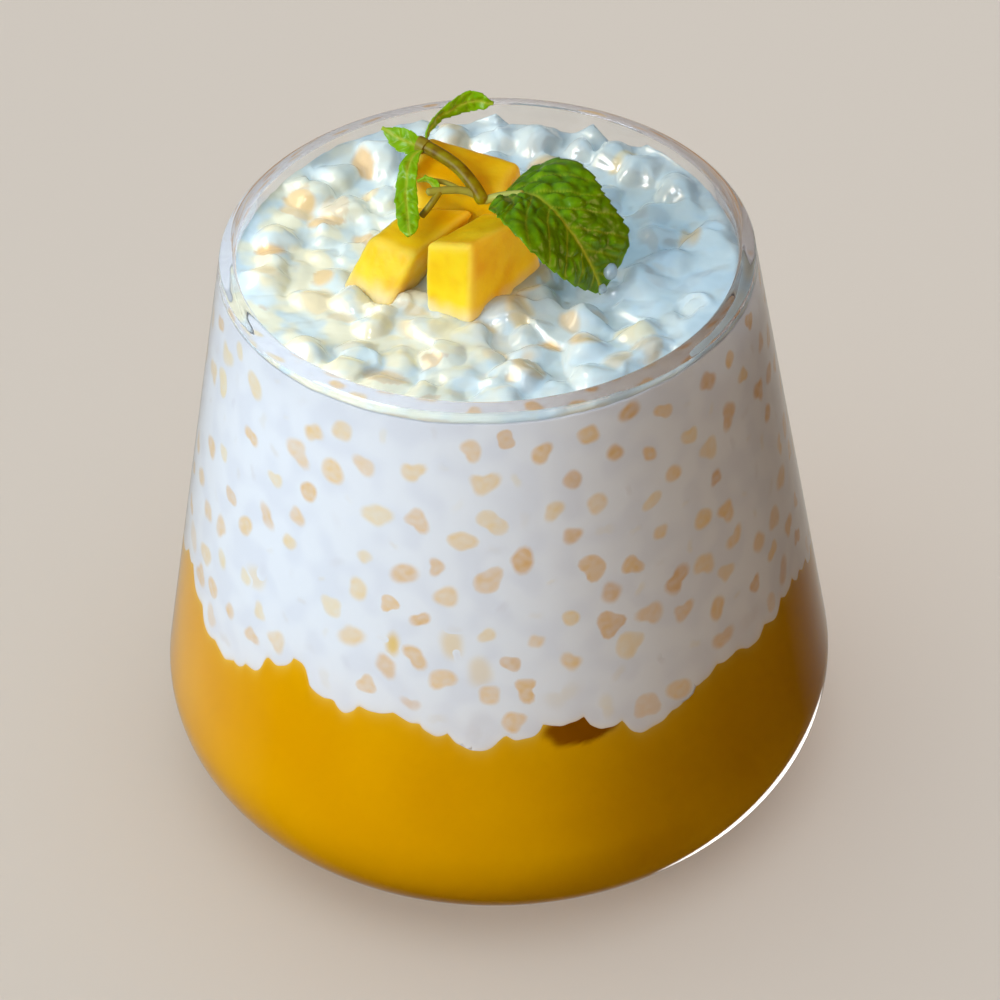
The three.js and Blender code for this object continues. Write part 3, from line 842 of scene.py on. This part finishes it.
# %% Cream on top
FILM_THINNING = 0.4
NEAR_WALL = (0.0, 0.07, 0.15, 0.25, 0.37, 0.52, 0.72, 1.0, 1.35, 1.75)
TOP_ROWS = 88
UNDER_SHARES, UNDER_EDGE = (0.4, 0.8), 80.5

rim_radius = inner_radius(edge) + CREAM_REACH
shares = np.linspace(1, 0, TOP_ROWS + 1)[1:-1]
radii = [rim_radius - gap for gap in NEAR_WALL]
radii += [(rim_radius - NEAR_WALL[-1]) * share for share in shares]
rings = [ring(inner_radius(UNDERSIDE) * share, UNDERSIDE) for share in UNDER_SHARES]
rings.append(ring(inner_radius(UNDER_EDGE), UNDER_EDGE))
for radius in radii:
    height = drape(radius * np.cos(ANGLES), radius * np.sin(ANGLES))
    climb = (edge - height) * np.exp(-(rim_radius - radius) / FILM_THINNING)
    rings.append(ring(radius, height + climb))
middle = float(drape(np.zeros(1), np.zeros(1))[0])
points, faces = skin(rings, (0, 0, UNDERSIDE), (0, 0, middle))
tint, tone = window_tint(points)
new_piece("pudding_top", points, faces, cream("cream", True), "tapioca_pudding", "tapioca_cream",
          ["cream_only"], tint=tint, tone=tone)

# %% [markdown]
# Along the glass the pearls are pressed flat, and each shows as a tan spot where no cream gets
# between it and the wall. The spots are round, oval or three-cornered. They are real pearls too:
# balls whose outer side is squeezed flat and bent to the wall, with a rim that fades into cream.
# They lie in loose groups, and one sits in most large lobes of the line. Fainter, longer spots
# between them are pearls that lie a little deeper, painted grey as the shade over them.

# %% Places of the pearls along the glass
LOBE_LEAST, LOBE_CHANCE = 1.9, 0.75
LOBE_SPOT, LOBE_LIFT, LOBE_STRENGTH = 0.62, 0.5, (0.35, 0.9)
SPOT_GROUPS = 8.0
# Spacing, radius, strength, and the noise below which none lies.
SPOT_KINDS = {
    "clear": (4.6, (1.35, 2.35), (0.75, 1.0), -0.05),
    "faint": (4.0, (0.6, 1.4), (0.12, 0.5), -1),
}
SPOT_ABOVE, SPOT_BELOW = 2.6, 0.6


def scatter_wall():
    """Rows of angle, height, spot radius and strength for the pearls at the glass."""
    dice = np.random.default_rng(11)
    found = []
    for angle, height, radius in zip(lobe_angle, lobe_height, lobe_radius):
        if radius > LOBE_LEAST and dice.uniform() < LOBE_CHANCE:
            strength = dice.uniform(*LOBE_STRENGTH)
            found.append((angle, height + LOBE_LIFT, LOBE_SPOT * radius, strength))
    for spacing, sizes, strengths, crowded in SPOT_KINDS.values():
        for _ in range(TRIES):
            angle = dice.uniform(-math.pi, math.pi)
            height = dice.uniform(PUREE_LEVEL, PUDDING_LEVEL + 2)
            low = at_angle(line, angle) + SPOT_ABOVE
            high = at_angle(lumps_at_wall, angle) - sizes[1] - SPOT_BELOW
            if height < low or height > high:
                continue
            radius = inner_radius(height)
            place = Vector((radius * math.cos(angle), radius * math.sin(angle), height))
            if noise.noise(place / SPOT_GROUPS) < crowded:
                continue
            near = np.array(found)
            along = wrapped(near[:, 0] - angle) * radius
            if np.hypot(along, near[:, 1] - height).min() > spacing:
                found.append((angle, height, dice.uniform(*sizes), dice.uniform(*strengths)))
    return np.array(found)


wall_pearls = scatter_wall()
print(len(wall_pearls), "pearls touch the glass")

# %% Shape of a pearl at the glass
SPOT_AROUND = 18
FRONT_ROWS, BACK_ROWS = 7, 2
SPOT_CAP, SPOT_OVER = 0.03, 1.15
BALL_SINK, BALL_DEPTH, BACK_RIM = 0.02, 1.2, 1.5
# How oval and how three-cornered spots are, and how often.
OVALS, OVAL_ODDS = [0.06, 0.18, 0.32], [0.4, 0.4, 0.2]
CORNERS, CORNER_ODDS = [0.04, 0.1, 0.17], [0.4, 0.35, 0.25]
FAINT_OVAL, SQUARE_MOST = 0.42, 0.09


def ball_grid(rows, around):
    """Faces of a ball from a pole, rows of points and a far pole."""
    faces = [(0, 1 + i, 1 + (i + 1) % around) for i in range(around)]
    for row in range(rows - 1):
        for i in range(around):
            low, high = 1 + row * around, 1 + (row + 1) * around
            j = (i + 1) % around
            faces.append((low + i, high + i, high + j, low + j))
    last = 1 + (rows - 1) * around
    faces += [(last + i, last + around, last + (i + 1) % around) for i in range(around)]
    return faces


def spot_outline(turn, faint, dice):
    """Uneven outline of a spot: oval, three-cornered or squarish by chance, long if faint."""
    oval = FAINT_OVAL if faint else dice.choice(OVALS, p=OVAL_ODDS)
    corners = dice.choice(CORNERS, p=CORNER_ODDS)
    ways = dice.uniform(0, 2 * np.pi, 3)
    return (1 + oval * np.cos(2 * turn + ways[0]) + corners * np.cos(3 * turn + ways[1])
            + dice.uniform(0, SQUARE_MOST) * np.cos(4 * turn + ways[2]))


def wall_pearl(angle, height, spot, faint, dice):
    """Points of a pearl squeezed flat against the glass, and how near each is to its rim."""
    turn = full_turn(SPOT_AROUND)
    outline = spot * spot_outline(turn, faint, dice)
    front = np.linspace(0, SPOT_OVER, FRONT_ROWS + 1)
    back = np.linspace(0, np.pi / 2, BACK_ROWS + 2)[1:]
    shares = np.concatenate([front, SPOT_OVER * np.cos(back)])
    inward = -BALL_SINK - BALL_DEPTH * spot * np.sin(back)
    depth = np.concatenate([SPOT_CAP * (1 - front ** 2), inward])
    rims = np.concatenate([front, np.full(len(back), BACK_RIM)])
    rows = []
    for share, out in zip(shares, depth):
        up = height + share * outline * np.sin(turn)
        around = angle + share * outline * np.cos(turn) / inner_radius(height)
        rows.append(ring(inner_radius(up) + CREAM_REACH + CREAM_STEP + out, up, around))
    rims = np.concatenate([rims[:1], np.repeat(rims[1:-1], SPOT_AROUND), rims[-1:]])
    return np.vstack([rows[0][:1], *rows[1:-1], rows[-1][:1]]), rims


print("a pearl at the glass has", (FRONT_ROWS + BACK_ROWS) * SPOT_AROUND + 2, "points")

# %% Pearls along the glass
FAINT_BELOW = 0.5
SPOT_SOFT, FAINT_SOFT, SPOT_END = (0.45, 0.8), 0.3, 0.98
SPOT_SHADE, FAINT_GREY_SHADE = (0.3, 1.0), (0, 0.12)
PALE_SHARE, PALE_SIDE = 0.6, (-2.6, -1.2)


def joined(shapes, grid):
    """Points and faces of like shapes as one mesh; grid holds the faces that each shape has."""
    count = len(shapes[0])
    faces = [tuple(i + n * count for i in face) for n in range(len(shapes)) for face in grid]
    return np.vstack(shapes), faces


dice = np.random.default_rng(31)
balls, tints, tones = [], [], []
for angle, height, spot, strength in wall_pearls:
    faint = strength < FAINT_BELOW
    ball, rim = wall_pearl(angle, height, spot, faint, dice)
    soft = FAINT_SOFT if faint else dice.uniform(*SPOT_SOFT)
    tint = strength * (1 - smoothstep(soft, SPOT_END, rim))
    # A faint pearl takes the grey tone: painted shade over a pearl that lies deeper.
    shade = dice.uniform(*(FAINT_GREY_SHADE if faint else SPOT_SHADE))
    shade *= PALE_SHARE + (1 - PALE_SHARE) * smoothstep(*PALE_SIDE, wrapped(angle))
    balls.append(ball)
    tints.append(tint * (0.85 + 0.3 * uneven(ball, 0.9)))
    tones.append(np.full(len(ball), shade))
points, faces = joined(balls, ball_grid(FRONT_ROWS + BACK_ROWS, SPOT_AROUND))
new_piece("pearls_along_glass", points, faces, cream("tapioca_behind_glass", False),
          "tapioca_pudding", "tapioca_cream", ["wall_only", "filling_only"],
          tint=tints, tone=tones)

# %% [markdown]
# Chance leaves a pearl on top with no cream on it at all. It is a whole ball, a little uneven, in
# the hollow that the drape left for it. Bare jelly lets light deep inside, so it glows. A larger
# share of bare pearls above would fill this piece with more of them.

# %% Pearls on top
TOP_BALL_ROWS, TOP_BALL_AROUND, BALL_LUMP = 15, 24, 0.15


def tapioca():
    """Cooked tapioca starch, bare: a clear tan jelly, so it glows deep and shines wet."""
    material, tree = new_material("cooked_tapioca")
    tone = add(tree, "ShaderNodeAttribute", attribute_name="tone")
    jelly = add(tree, "ShaderNodeValToRGB", {"Fac": tone.outputs["Fac"]}, stops=[
        (0.0, "f2e2c0"), (1.0, "e8bf86"),
    ])
    ball = add(tree, "ShaderNodeBsdfPrincipled", {
        "Base Color": jelly.outputs[0], "Roughness": 0.1, "Subsurface Weight": 1.0,
        "Subsurface Radius": (1.0, 0.75, 0.5), "Subsurface Scale": 3 * MM,
    })
    add(tree, "ShaderNodeOutputMaterial", {"Surface": ball.outputs[0]})
    return material


def top_pearl(x, y, z, radius):
    """Points of a ball with its poles up and down, a little uneven."""
    polar = np.linspace(0, math.pi, TOP_BALL_ROWS + 2)
    turn = full_turn(TOP_BALL_AROUND)
    rows = [ring(math.sin(t), math.cos(t), turn) for t in polar]
    shape = np.vstack([rows[0][:1], *rows[1:-1], rows[-1][:1]])
    points = np.array([x, y, z]) + radius * shape
    return points + BALL_LUMP * uneven(points, 3.0)[:, None] * shape


ball_faces = ball_grid(TOP_BALL_ROWS, TOP_BALL_AROUND)
balls = [top_pearl(*pearl) for pearl in top_pearls[bare]]
tones = [np.full(len(ball), dice.uniform(0.0, 1.0)) for ball in balls]
points, faces = joined(balls, ball_faces)
new_piece("pearls_on_top", points, faces, tapioca(), "tapioca_pudding", "tapioca_cream",
          ["cream_only"], tone=tones)

# %% [markdown]
# Ripe mango is cut in rough wedges with a knife: flat faces, soft edges, and fine fibres that run
# along the piece. A block with a grid on every face is rounded and warped like the solid, and a
# little noise keeps the faces from being too true. Its edges are painted paler, a painted glow for
# light that passes through them, and its foot is stained by the cream it stands in.

# %% Mango flesh
def mango_flesh():
    """Ripe mango flesh, cut: juicy, glowing yellow that deepens to orange, with a fine grain."""
    material, tree = new_material("mango_flesh")
    place = add(tree, "ShaderNodeTexCoord").outputs["Object"]
    cloud = add(tree, "ShaderNodeTexNoise", {"Vector": place, "Scale": 1 / (5 * MM), "Detail": 2.0})
    colour = add(tree, "ShaderNodeValToRGB", {"Fac": cloud.outputs["Fac"]}, stops=[
        (0.3, "f2bc04"), (0.5, "f8d010"), (0.7, "fbdc22"),
    ]).outputs[0]
    # Pale yellow at the edges is a painted glow of light through the flesh; cream white is a stain.
    for mark, hue in (("border", "fce45a"), ("creamy", "f6ecc4")):
        amount = add(tree, "ShaderNodeAttribute", attribute_name=mark)
        colour = add(tree, "ShaderNodeMix", {
            0: amount.outputs["Fac"], 6: colour, 7: linear(hue),
        }, data_type="RGBA").outputs[2]
    grain = add(tree, "ShaderNodeTexNoise", {
        "Vector": place, "Scale": 1 / (0.6 * MM), "Detail": 1.0,
    })
    relief = add(tree, "ShaderNodeBump", {
        "Height": grain.outputs["Fac"], "Strength": 0.15, "Distance": 0.3 * MM,
    })
    flesh = add(tree, "ShaderNodeBsdfPrincipled", {
        "Base Color": colour, "Roughness": 0.38, "Normal": relief.outputs[0],
        "Specular IOR Level": 0.15, "Subsurface Weight": 0.4,
        "Subsurface Radius": (1.0, 0.5, 0.05), "Subsurface Scale": 5 * MM,
    }, subsurface_method="BURLEY")
    add(tree, "ShaderNodeOutputMaterial", {"Surface": flesh.outputs[0]})
    return material


ripe_flesh = mango_flesh()
print(ripe_flesh.name, "with", len(ripe_flesh.node_tree.nodes), "nodes")

# %% Wedge of mango
MANGO_ROUNDING = 1.0
MANGO_GRID = 26
MANGO_LUMPS = ((0.22, 3.5), (0.06, 0.9))


def block_grid(steps):
    """Points from -1 to 1 on a cube with a grid on every side, and faces joined at its edges."""
    index, points, faces = {}, [], []
    share = np.linspace(-1, 1, steps + 1)

    def at(corner):
        key = tuple(np.round(corner, 6))
        if key not in index:
            index[key] = len(points)
            points.append(key)
        return index[key]

    for axis in range(3):
        u, v = (axis + 1) % 3, (axis + 2) % 3
        for end in (-1, 1):
            for i in range(steps):
                for j in range(steps):
                    quad = []
                    for a, b in ((i, j), (i + 1, j), (i + 1, j + 1), (i, j + 1)):
                        corner = [0.0, 0.0, 0.0]
                        corner[axis], corner[u], corner[v] = end, share[a], share[b]
                        quad.append(at(corner))
                    faces.append(quad if end > 0 else quad[::-1])
    return np.array(points), faces


def mango_points(cube, place, turn, size, shift, slope, narrow, skew):
    """The cube's points as a rounded, warped wedge of mango with slightly uneven faces."""
    half = np.array(size) / 2
    points = cube * half
    core = np.clip(points, -(half - MANGO_ROUNDING), half - MANGO_ROUNDING)
    arm = points - core
    length = np.linalg.norm(arm, axis=1)[:, None]
    way = np.where(length > 0, arm / np.maximum(length, 1e-9), 0)
    points = core + way * np.minimum(length, MANGO_ROUNDING)
    along, beside = points[:, 0] / half[0], points[:, 1] / half[1]
    up = points[:, 2] / size[2] + 0.5
    shorter = skew * (1 + along) / 2 * (1 + beside) / 2
    x = points[:, 0] * (1 + (narrow[0] - 1) * up) + shift[0] * up - shorter
    y = points[:, 1] * (1 + (narrow[1] - 1) * up) + shift[1] * up
    z = up * (size[2] + along * slope[0] + beside * slope[1])
    c, s = math.cos(math.radians(turn)), math.sin(math.radians(turn))
    placed = np.stack([place[0] + c * x - s * y, place[1] + s * x + c * y, place[2] + z], axis=1)
    outward = placed - placed.mean(0)
    outward /= np.linalg.norm(outward, axis=1)[:, None]
    return placed + outward * lumpy(placed, MANGO_LUMPS)[:, None]


cube_points, cube_faces = block_grid(MANGO_GRID)
print("a block of", len(cube_points), "points")

# %% Pieces of mango
PAINTED_GLOW, GLOW_WIDTH = 0.55, (0.72, 1.0)
CREAM_STAIN, STAIN_HEIGHT = 0.6, (1.5, 4.5)

near_edge = np.sort(np.abs(cube_points), axis=1)[:, 1]
for name, values in MANGO_PIECES.items():
    points = mango_points(cube_points, *values)
    over = points[:, 2] - cream_level(points[:, 0], points[:, 1]) + 0.9 * uneven(points, 2.0)
    creamy = CREAM_STAIN * (1 - smoothstep(*STAIN_HEIGHT, over))
    # Painted glow: the edges are lighter, for light that passes through thin flesh.
    border = PAINTED_GLOW * smoothstep(*GLOW_WIDTH, near_edge + 0.08 * uneven(points, 2.5))
    new_piece("mango_" + name, points, cube_faces, ripe_flesh, "mango_piece_" + name, "mango_flesh",
              ["fruit_only", "mango_only"], border=border, creamy=creamy)

# %% [markdown]
# The mint is a young tip: a woody stem, thin green shoots, one large leaf and five small ones.
# A shoot is a tube along a smooth curve. A leaf is a grid along its midrib: the outline gives its
# width, teeth cut its edge, and the blade swells between the side veins.

# %% Curves and tubes
SHOOT_AROUND = 14
SHOOT_STEPS = 40
CURVE_STEPS = 40


def curve_through(points, count):
    """Evenly spaced points on a smooth curve through points, and the way it runs at each."""
    p = np.array(points, dtype=float)
    p = np.vstack([2 * p[0] - p[1], p, 2 * p[-1] - p[-2]])
    t = np.linspace(0, 1, CURVE_STEPS, endpoint=False)[:, None]
    parts = []
    for a, b, c, d in zip(p, p[1:], p[2:], p[3:]):
        parts.append(0.5 * (2 * b + (c - a) * t + (2 * a - 5 * b + 4 * c - d) * t ** 2
                            + (3 * b - a - 3 * c + d) * t ** 3))
    path = np.vstack([*parts, p[-2:-1]])
    run = np.concatenate([[0], np.cumsum(np.linalg.norm(np.diff(path, axis=0), axis=1))])
    even = np.linspace(0, run[-1], count)
    path = np.stack([np.interp(even, run, path[:, i]) for i in range(3)], axis=1)
    along = np.gradient(path, axis=0)
    return path, along / np.linalg.norm(along, axis=1)[:, None]


def tube(points, radius):
    """Points of a round shoot with closed, rounded ends."""
    path, along = curve_through(points, SHOOT_STEPS)
    turn = full_turn(SHOOT_AROUND)
    rows = []
    for i, (middle, way) in enumerate(zip(path, along)):
        side = np.cross(way, (0, 0, 1))
        side /= np.linalg.norm(side)
        over = np.cross(side, way)
        end = min(i, SHOOT_STEPS - 1 - i) / 2
        reach = radius * math.sqrt(max(0.05, 1 - max(0, 1 - end) ** 2))
        rows.append(middle + reach * (np.outer(np.cos(turn), side) + np.outer(np.sin(turn), over)))
    return np.vstack([path[:1], *rows, path[-1:]])


print("a shoot has", SHOOT_STEPS * SHOOT_AROUND + 2, "points")

# %% [markdown]
# A stem of mint is green where it is young and turns brown and woody as it ages. Streaks of olive
# and brown serve for both, and a mark for the youth of each shoot mixes in a light green.

# %% Mint stem
def mint_stem():
    """Mint stem: a green shoot turning woody, so olive with brown streaks and little gloss."""
    material, tree = new_material("mint_stem")
    place = add(tree, "ShaderNodeTexCoord").outputs["Object"]
    streak = add(tree, "ShaderNodeTexNoise", {
        "Vector": place, "Scale": 1 / (1.5 * MM), "Detail": 4.0,
    })
    tone = add(tree, "ShaderNodeValToRGB", {"Fac": streak.outputs["Fac"]}, stops=[
        (0.3, "6a5000"), (0.5, "867600"), (0.75, "949404"),
    ])
    young = add(tree, "ShaderNodeAttribute", attribute_name="young")
    colour = add(tree, "ShaderNodeMix", {
        0: young.outputs["Fac"], 6: tone.outputs[0], 7: linear("b4be5c"),
    }, data_type="RGBA")
    bark = add(tree, "ShaderNodeBsdfPrincipled", {
        "Base Color": colour.outputs[2], "Roughness": 0.35, "Specular IOR Level": 0.2,
    })
    add(tree, "ShaderNodeOutputMaterial", {"Surface": bark.outputs[0]})
    return material


green_wood = mint_stem()
print(green_wood.name, "with", len(green_wood.node_tree.nodes), "nodes")

# %% Shoots of mint
# Radius, youth from woody to green, and route.
SHOOTS = {
    "stem": (0.95, 0.0, [
        (-8.6, 10.8, 98.3), (-6.1, 8.7, 98.0), (-3.7, 6.4, 97.4), (-1.7, 4.0, 96.1),
        (-0.2, 2.1, 94.2),
    ]),
    "knot": (1.15, 0.2, [(-9.3, 11.0, 98.5), (-8.7, 10.7, 98.4), (-8.1, 10.3, 98.2)]),
    "stalk": (0.6, 1.0, [(-0.5, 2.6, 94.3), (1.4, 2.6, 94.9), (3.0, 2.0, 95.6), (5.2, 0.9, 96.5)]),
    "side": (0.55, 0.45, [
        (-1.0, 2.9, 95.0), (-2.8, 3.3, 95.6), (-5.2, 3.2, 95.9), (-8.2, 2.7, 96.0),
    ]),
    "fork": (0.35, 0.5, [(-3.4, 3.5, 95.7), (-5.4, 4.2, 96.4), (-7.4, 4.4, 96.8)]),
    "twig": (0.5, 0.1, [(-6.2, 3.0, 96.0), (-7.7, 1.9, 94.3), (-9.0, 1.7, 92.6)]),
}

tubes = [tube(route, radius) for radius, _, route in SHOOTS.values()]
young = [np.full(len(tubes[0]), youth) for _, youth, _ in SHOOTS.values()]
points, faces = joined(tubes, ball_grid(SHOOT_STEPS, SHOOT_AROUND))
new_piece("mint_shoots", points, faces, green_wood, "mint_sprig", "mint_green", ["fruit_only"],
          young=young)

# %% Leaves and their outlines
# Share along the midrib, and share of the half width there.
OUTLINES = {
    "broad": [(0, 0.2), (0.02, 0.7), (0.06, 0.98), (0.14, 1.1), (0.25, 1.05), (0.4, 0.97),
              (0.6, 0.95), (0.75, 0.97), (0.85, 0.8), (0.93, 0.5), (1, 0.05)],
    "slim": [(0, 0.2), (0.02, 0.55), (0.06, 0.82), (0.14, 0.95), (0.25, 0.98), (0.45, 1.0),
             (0.6, 0.87), (0.75, 0.64), (0.88, 0.34), (1, 0.04)],
    "young": [(0, 0.15), (0.1, 0.55), (0.25, 0.9), (0.45, 1.0), (0.65, 0.85), (0.85, 0.45),
              (1, 0.05)],
    "blunt": [(0, 0.2), (0.1, 0.6), (0.3, 0.9), (0.6, 1.0), (0.85, 0.95), (0.95, 0.7), (1, 0.35)],
    "spoon": [(0, 0.3), (0.2, 0.5), (0.45, 0.6), (0.65, 0.95), (0.8, 1.0), (0.92, 0.7), (1, 0.1)],
}
LEAVES = {
    "large": dict(
        midrib=[(3.1, 1.8, 95.5), (6.9, -0.3, 96.7), (10.4, -4.6, 95.4), (13.6, -7.0, 90.8),
                (15.4, -7.6, 85.5)],
        across=(0.7, 0.7, 0), width=17, sides=("broad", "slim"), fold=(7, 8), veins=6, teeth=13,
        swell=0.85, crumple=0.14, heel=1.1),
    "back": dict(
        midrib=[(-8.4, 10.3, 98.4), (-7.3, 13.6, 99.8), (-4.5, 15.9, 100.8), (-1.6, 16.9, 101.4),
                (1.4, 16.2, 101.2)],
        across=(0.1, 0.2, 0.95), width=3.2, sides=("spoon", "spoon"), fold=(8, 8), veins=7,
        teeth=9, swell=0.4, crumple=0.4, heel=0),
    "upper": dict(
        midrib=[(-8.4, 10.2, 98.2), (-11.3, 11.4, 98.8), (-14.1, 13.6, 99.4)],
        across=(0.25, 0.62, 0.72), width=3.6, sides=("young", "young"), fold=(-6, -6), veins=4,
        teeth=5, swell=0.3, crumple=0.25, heel=0.3),
    "hanging": dict(
        midrib=[(-8.7, 9.6, 98.2), (-10.3, 7.7, 97.6), (-10.9, 3.8, 94.8), (-10.5, -3.0, 92.8)],
        across=(0.9, -0.3, 0.1), width=3.5, sides=("blunt", "blunt"), fold=(12, 12), veins=7,
        teeth=6, swell=0.4, crumple=0.4, heel=0),
    "tuft_high": dict(
        midrib=[(-6.4, 3.1, 95.9), (-7.3, 3.9, 96.8), (-8.4, 4.3, 97.6)],
        across=(0.5, -0.5, 0.7), width=1.9, sides=("young", "young"), fold=(10, 10), veins=3,
        teeth=4, swell=0.15, crumple=0.15, heel=0),
    "tuft_low": dict(
        midrib=[(-6.6, 3.9, 96.5), (-8.0, 4.3, 96.9), (-9.4, 4.2, 96.8)],
        across=(0.3, -0.4, 0.85), width=1.5, sides=("young", "young"), fold=(10, 10), veins=3,
        teeth=3, swell=0.15, crumple=0.15, heel=0),
}

print("leaves:", ", ".join(LEAVES))

# %% Swelling between the veins
QUILT = 2.1


def quilted(along, beside):
    """0 on the fine net of veins, 1 in the middle of the cells that swell between them."""
    cells = []
    for u, v in zip(along, beside):
        near = noise.voronoi(Vector((u, v, 0.0)) / QUILT)[0]
        cells.append(min(1.0, 2.2 * (near[1] - near[0])))
    return np.array(cells)


print("cells of the net are", QUILT, "mm wide")

# %% Blade of a leaf
LEAF_ROWS = 120
LEAF_HALF = 28
LEAF_COLUMNS = 2 * LEAF_HALF + 1
LEAF_THICKNESS = 0.35
LEAF_NECK = 0.3
TOOTH = 0.4
VEIN_SLANT = 0.9
RIB_WIDTH, VEIN_WIDTH, VEIN_MARK = 0.25, 0.13, 0.7
HEEL_LENGTH = 0.12


def leaf(midrib, across, width, sides, fold, veins, teeth, swell, crumple, heel):
    """A thin toothed leaf: points, lower side first, vein marks and shade painted in creases."""
    path, along = curve_through(midrib, LEAF_ROWS)
    length = np.linalg.norm(np.diff(path, axis=0), axis=1).sum()
    share = np.linspace(-1, 1, LEAF_COLUMNS)
    out = np.abs(share)
    lower, upper, marks, creases = [], [], [], []
    for i, (middle, way) in enumerate(zip(path, along)):
        t = i / (LEAF_ROWS - 1)
        side = np.array(across) - np.dot(across, way) * way
        side /= np.linalg.norm(side)
        face = np.cross(way, side)
        halves = []
        for which, phase in zip(sides, (0.0, 0.4)):
            tooth = TOOTH * min(1, width / 8) * (1 - (teeth * t + phase) % 1)
            halves.append(max(LEAF_NECK, width / 2 * np.interp(t, *zip(*OUTLINES[which])) - tooth))
        half = np.where(share >= 0, halves[0], halves[1])
        beside = half * share
        slant = VEIN_SLANT * np.abs(beside) / length
        wave = np.abs(np.sin(np.pi * (t - slant) * veins))
        groove = wave ** 0.4
        net = quilted(t * length - 0.5 * np.abs(beside), beside)
        fade = np.sin(np.pi * out ** 0.8) ** 0.6 * np.minimum(1, half / 3)
        blade = swell * groove * (0.25 + 0.75 * net) * fade
        bent = np.radians(np.where(share >= 0, fold[0], fold[1]))
        flat = beside * np.cos(bent)
        behind = heel * out ** 1.3 * math.exp(-t / HEEL_LENGTH)
        places = middle + np.outer(flat, side) - np.outer(behind, way)
        lift = np.abs(beside) * np.sin(bent) + blade
        lift += crumple * (uneven(places, 1.7) + 0.5 * uneven(places + 9, 0.9)) * min(1, 6 * t)
        places += np.outer(lift, face)
        thick = LEAF_THICKNESS / 2 * np.sqrt(np.clip(1.05 - out ** 4, 0, 1))
        lower.append(places - np.outer(thick, face))
        upper.append(places + np.outer(thick, face))
        rib = np.exp(-(np.abs(beside) / RIB_WIDTH) ** 2)
        vein = VEIN_MARK * np.exp(-(wave / VEIN_WIDTH) ** 2) * (1 - 0.6 * out)
        marks.append(np.maximum(rib, vein))
        # Painted shade: the creases of the net are marked to be darkened.
        creases.append((1 - net) * fade)
    return np.vstack(lower + upper), np.concatenate(marks), np.concatenate(creases)


print("a leaf has", 2 * LEAF_ROWS * LEAF_COLUMNS, "points")

# %% Faces of a leaf
def thin_faces(rows, columns):
    """Faces of two like grids of points closed along their edge into one thin body."""
    count = rows * columns
    faces = []
    for r in range(rows - 1):
        for c in range(columns - 1):
            a, b = r * columns + c, r * columns + c + 1
            quad = (a, b, b + columns, a + columns)
            faces += [quad, tuple(i + count for i in quad[::-1])]
    edge = list(range(columns - 1))
    edge += [r * columns + columns - 1 for r in range(rows - 1)]
    edge += [(rows - 1) * columns + c for c in range(columns - 1, 0, -1)]
    edge += [r * columns for r in range(rows - 1, 0, -1)]
    for a, b in zip(edge, edge[1:] + edge[:1]):
        faces.append((b, a, a + count, b + count))
    return faces


leaf_faces = thin_faces(LEAF_ROWS, LEAF_COLUMNS)
print("a leaf has", len(leaf_faces), "faces")

# %% [markdown]
# A mint leaf is waxy and deep green, lighter along its veins and in its young parts. Its creases
# are painted darker, for the shade in them. The same sums that shape the blade also mark its veins
# and that painted shade, so colour and form agree, and only a fine mottle is left to the material.

# %% Mint leaf
def mint_leaf():
    """Fresh mint leaf: quilted and waxy, with painted shade between the veins and lime along them.
    """
    material, tree = new_material("mint_leaf")
    place = add(tree, "ShaderNodeTexCoord").outputs["Object"]
    mottle = add(tree, "ShaderNodeTexNoise", {
        "Vector": place, "Scale": 1 / (1.8 * MM), "Detail": 4.0,
    })
    colour = add(tree, "ShaderNodeValToRGB", {"Fac": mottle.outputs["Fac"]}, stops=[
        (0.3, "467400"), (0.55, "649800"), (0.8, "80b400"),
    ]).outputs[0]
    # Young parts and veins are truly lighter; the crease mark darkens as painted shade.
    for mark, hue in (("young", "86c000"), ("crease", "345800"), ("vein", "a2bc30")):
        amount = add(tree, "ShaderNodeAttribute", attribute_name=mark)
        colour = add(tree, "ShaderNodeMix", {
            0: amount.outputs["Fac"], 6: colour, 7: linear(hue),
        }, data_type="RGBA").outputs[2]
    relief = add(tree, "ShaderNodeBump", {
        "Height": mottle.outputs["Fac"], "Strength": 0.35, "Distance": 0.3 * MM,
    })
    wax = add(tree, "ShaderNodeBsdfPrincipled", {
        "Base Color": colour, "Roughness": 0.3, "Normal": relief.outputs[0],
        "Specular IOR Level": 0.22,
    })
    add(tree, "ShaderNodeOutputMaterial", {"Surface": wax.outputs[0]})
    return material


waxy_leaf = mint_leaf()
print(waxy_leaf.name, "with", len(waxy_leaf.node_tree.nodes), "nodes")

# %% Leaves of mint
# How dark the painted shade in the creases is.
CREASE_SHADE = 0.5
SMALL_YOUTH = 0.8

blades, veins, creases, young = [], [], [], []
for name, values in LEAVES.items():
    blade, marks, crease_shade_marks = leaf(**values)
    blades.append(blade)
    veins += [marks, marks]
    creases += [CREASE_SHADE * crease_shade_marks, CREASE_SHADE * crease_shade_marks]
    young.append(np.full(len(blade), 0.0 if name == "large" else SMALL_YOUTH))
points, faces = joined(blades, leaf_faces)
new_piece("mint_leaves", points, faces, waxy_leaf, "mint_sprig", "mint_green", ["fruit_only"],
          vein=veins, crease=creases, young=young)

# %% [markdown]
# Two drops of cream fell on the large leaf. Each is a ball like the pearls, pressed a little flat,
# and it sits on a point of the leaf's upper side, so it stays there if the leaf is bent anew.

# %% Drops of cream on the large leaf
# Share along the leaf, share out to its side, and radius.
DROPS = [(0.89, 0.42, 1.6), (0.965, 0.1, 1.0)]
DROP_STRETCH = np.array([0.65, 0.95, 0.7])

large_upper = blades[0].reshape(2, LEAF_ROWS, LEAF_COLUMNS, 3)[1]
drops = []
for length_share, side_share, radius in DROPS:
    row, column = round(length_share * (LEAF_ROWS - 1)), round(LEAF_HALF * (1 + side_share))
    drops.append(top_pearl(0, 0, 0, radius) * DROP_STRETCH + large_upper[row, column])
points, faces = joined(drops, ball_faces)
new_piece("cream_drops", points, faces, cream("cream_drop", True), "tapioca_pudding",
          "tapioca_cream", ["cream_only"])
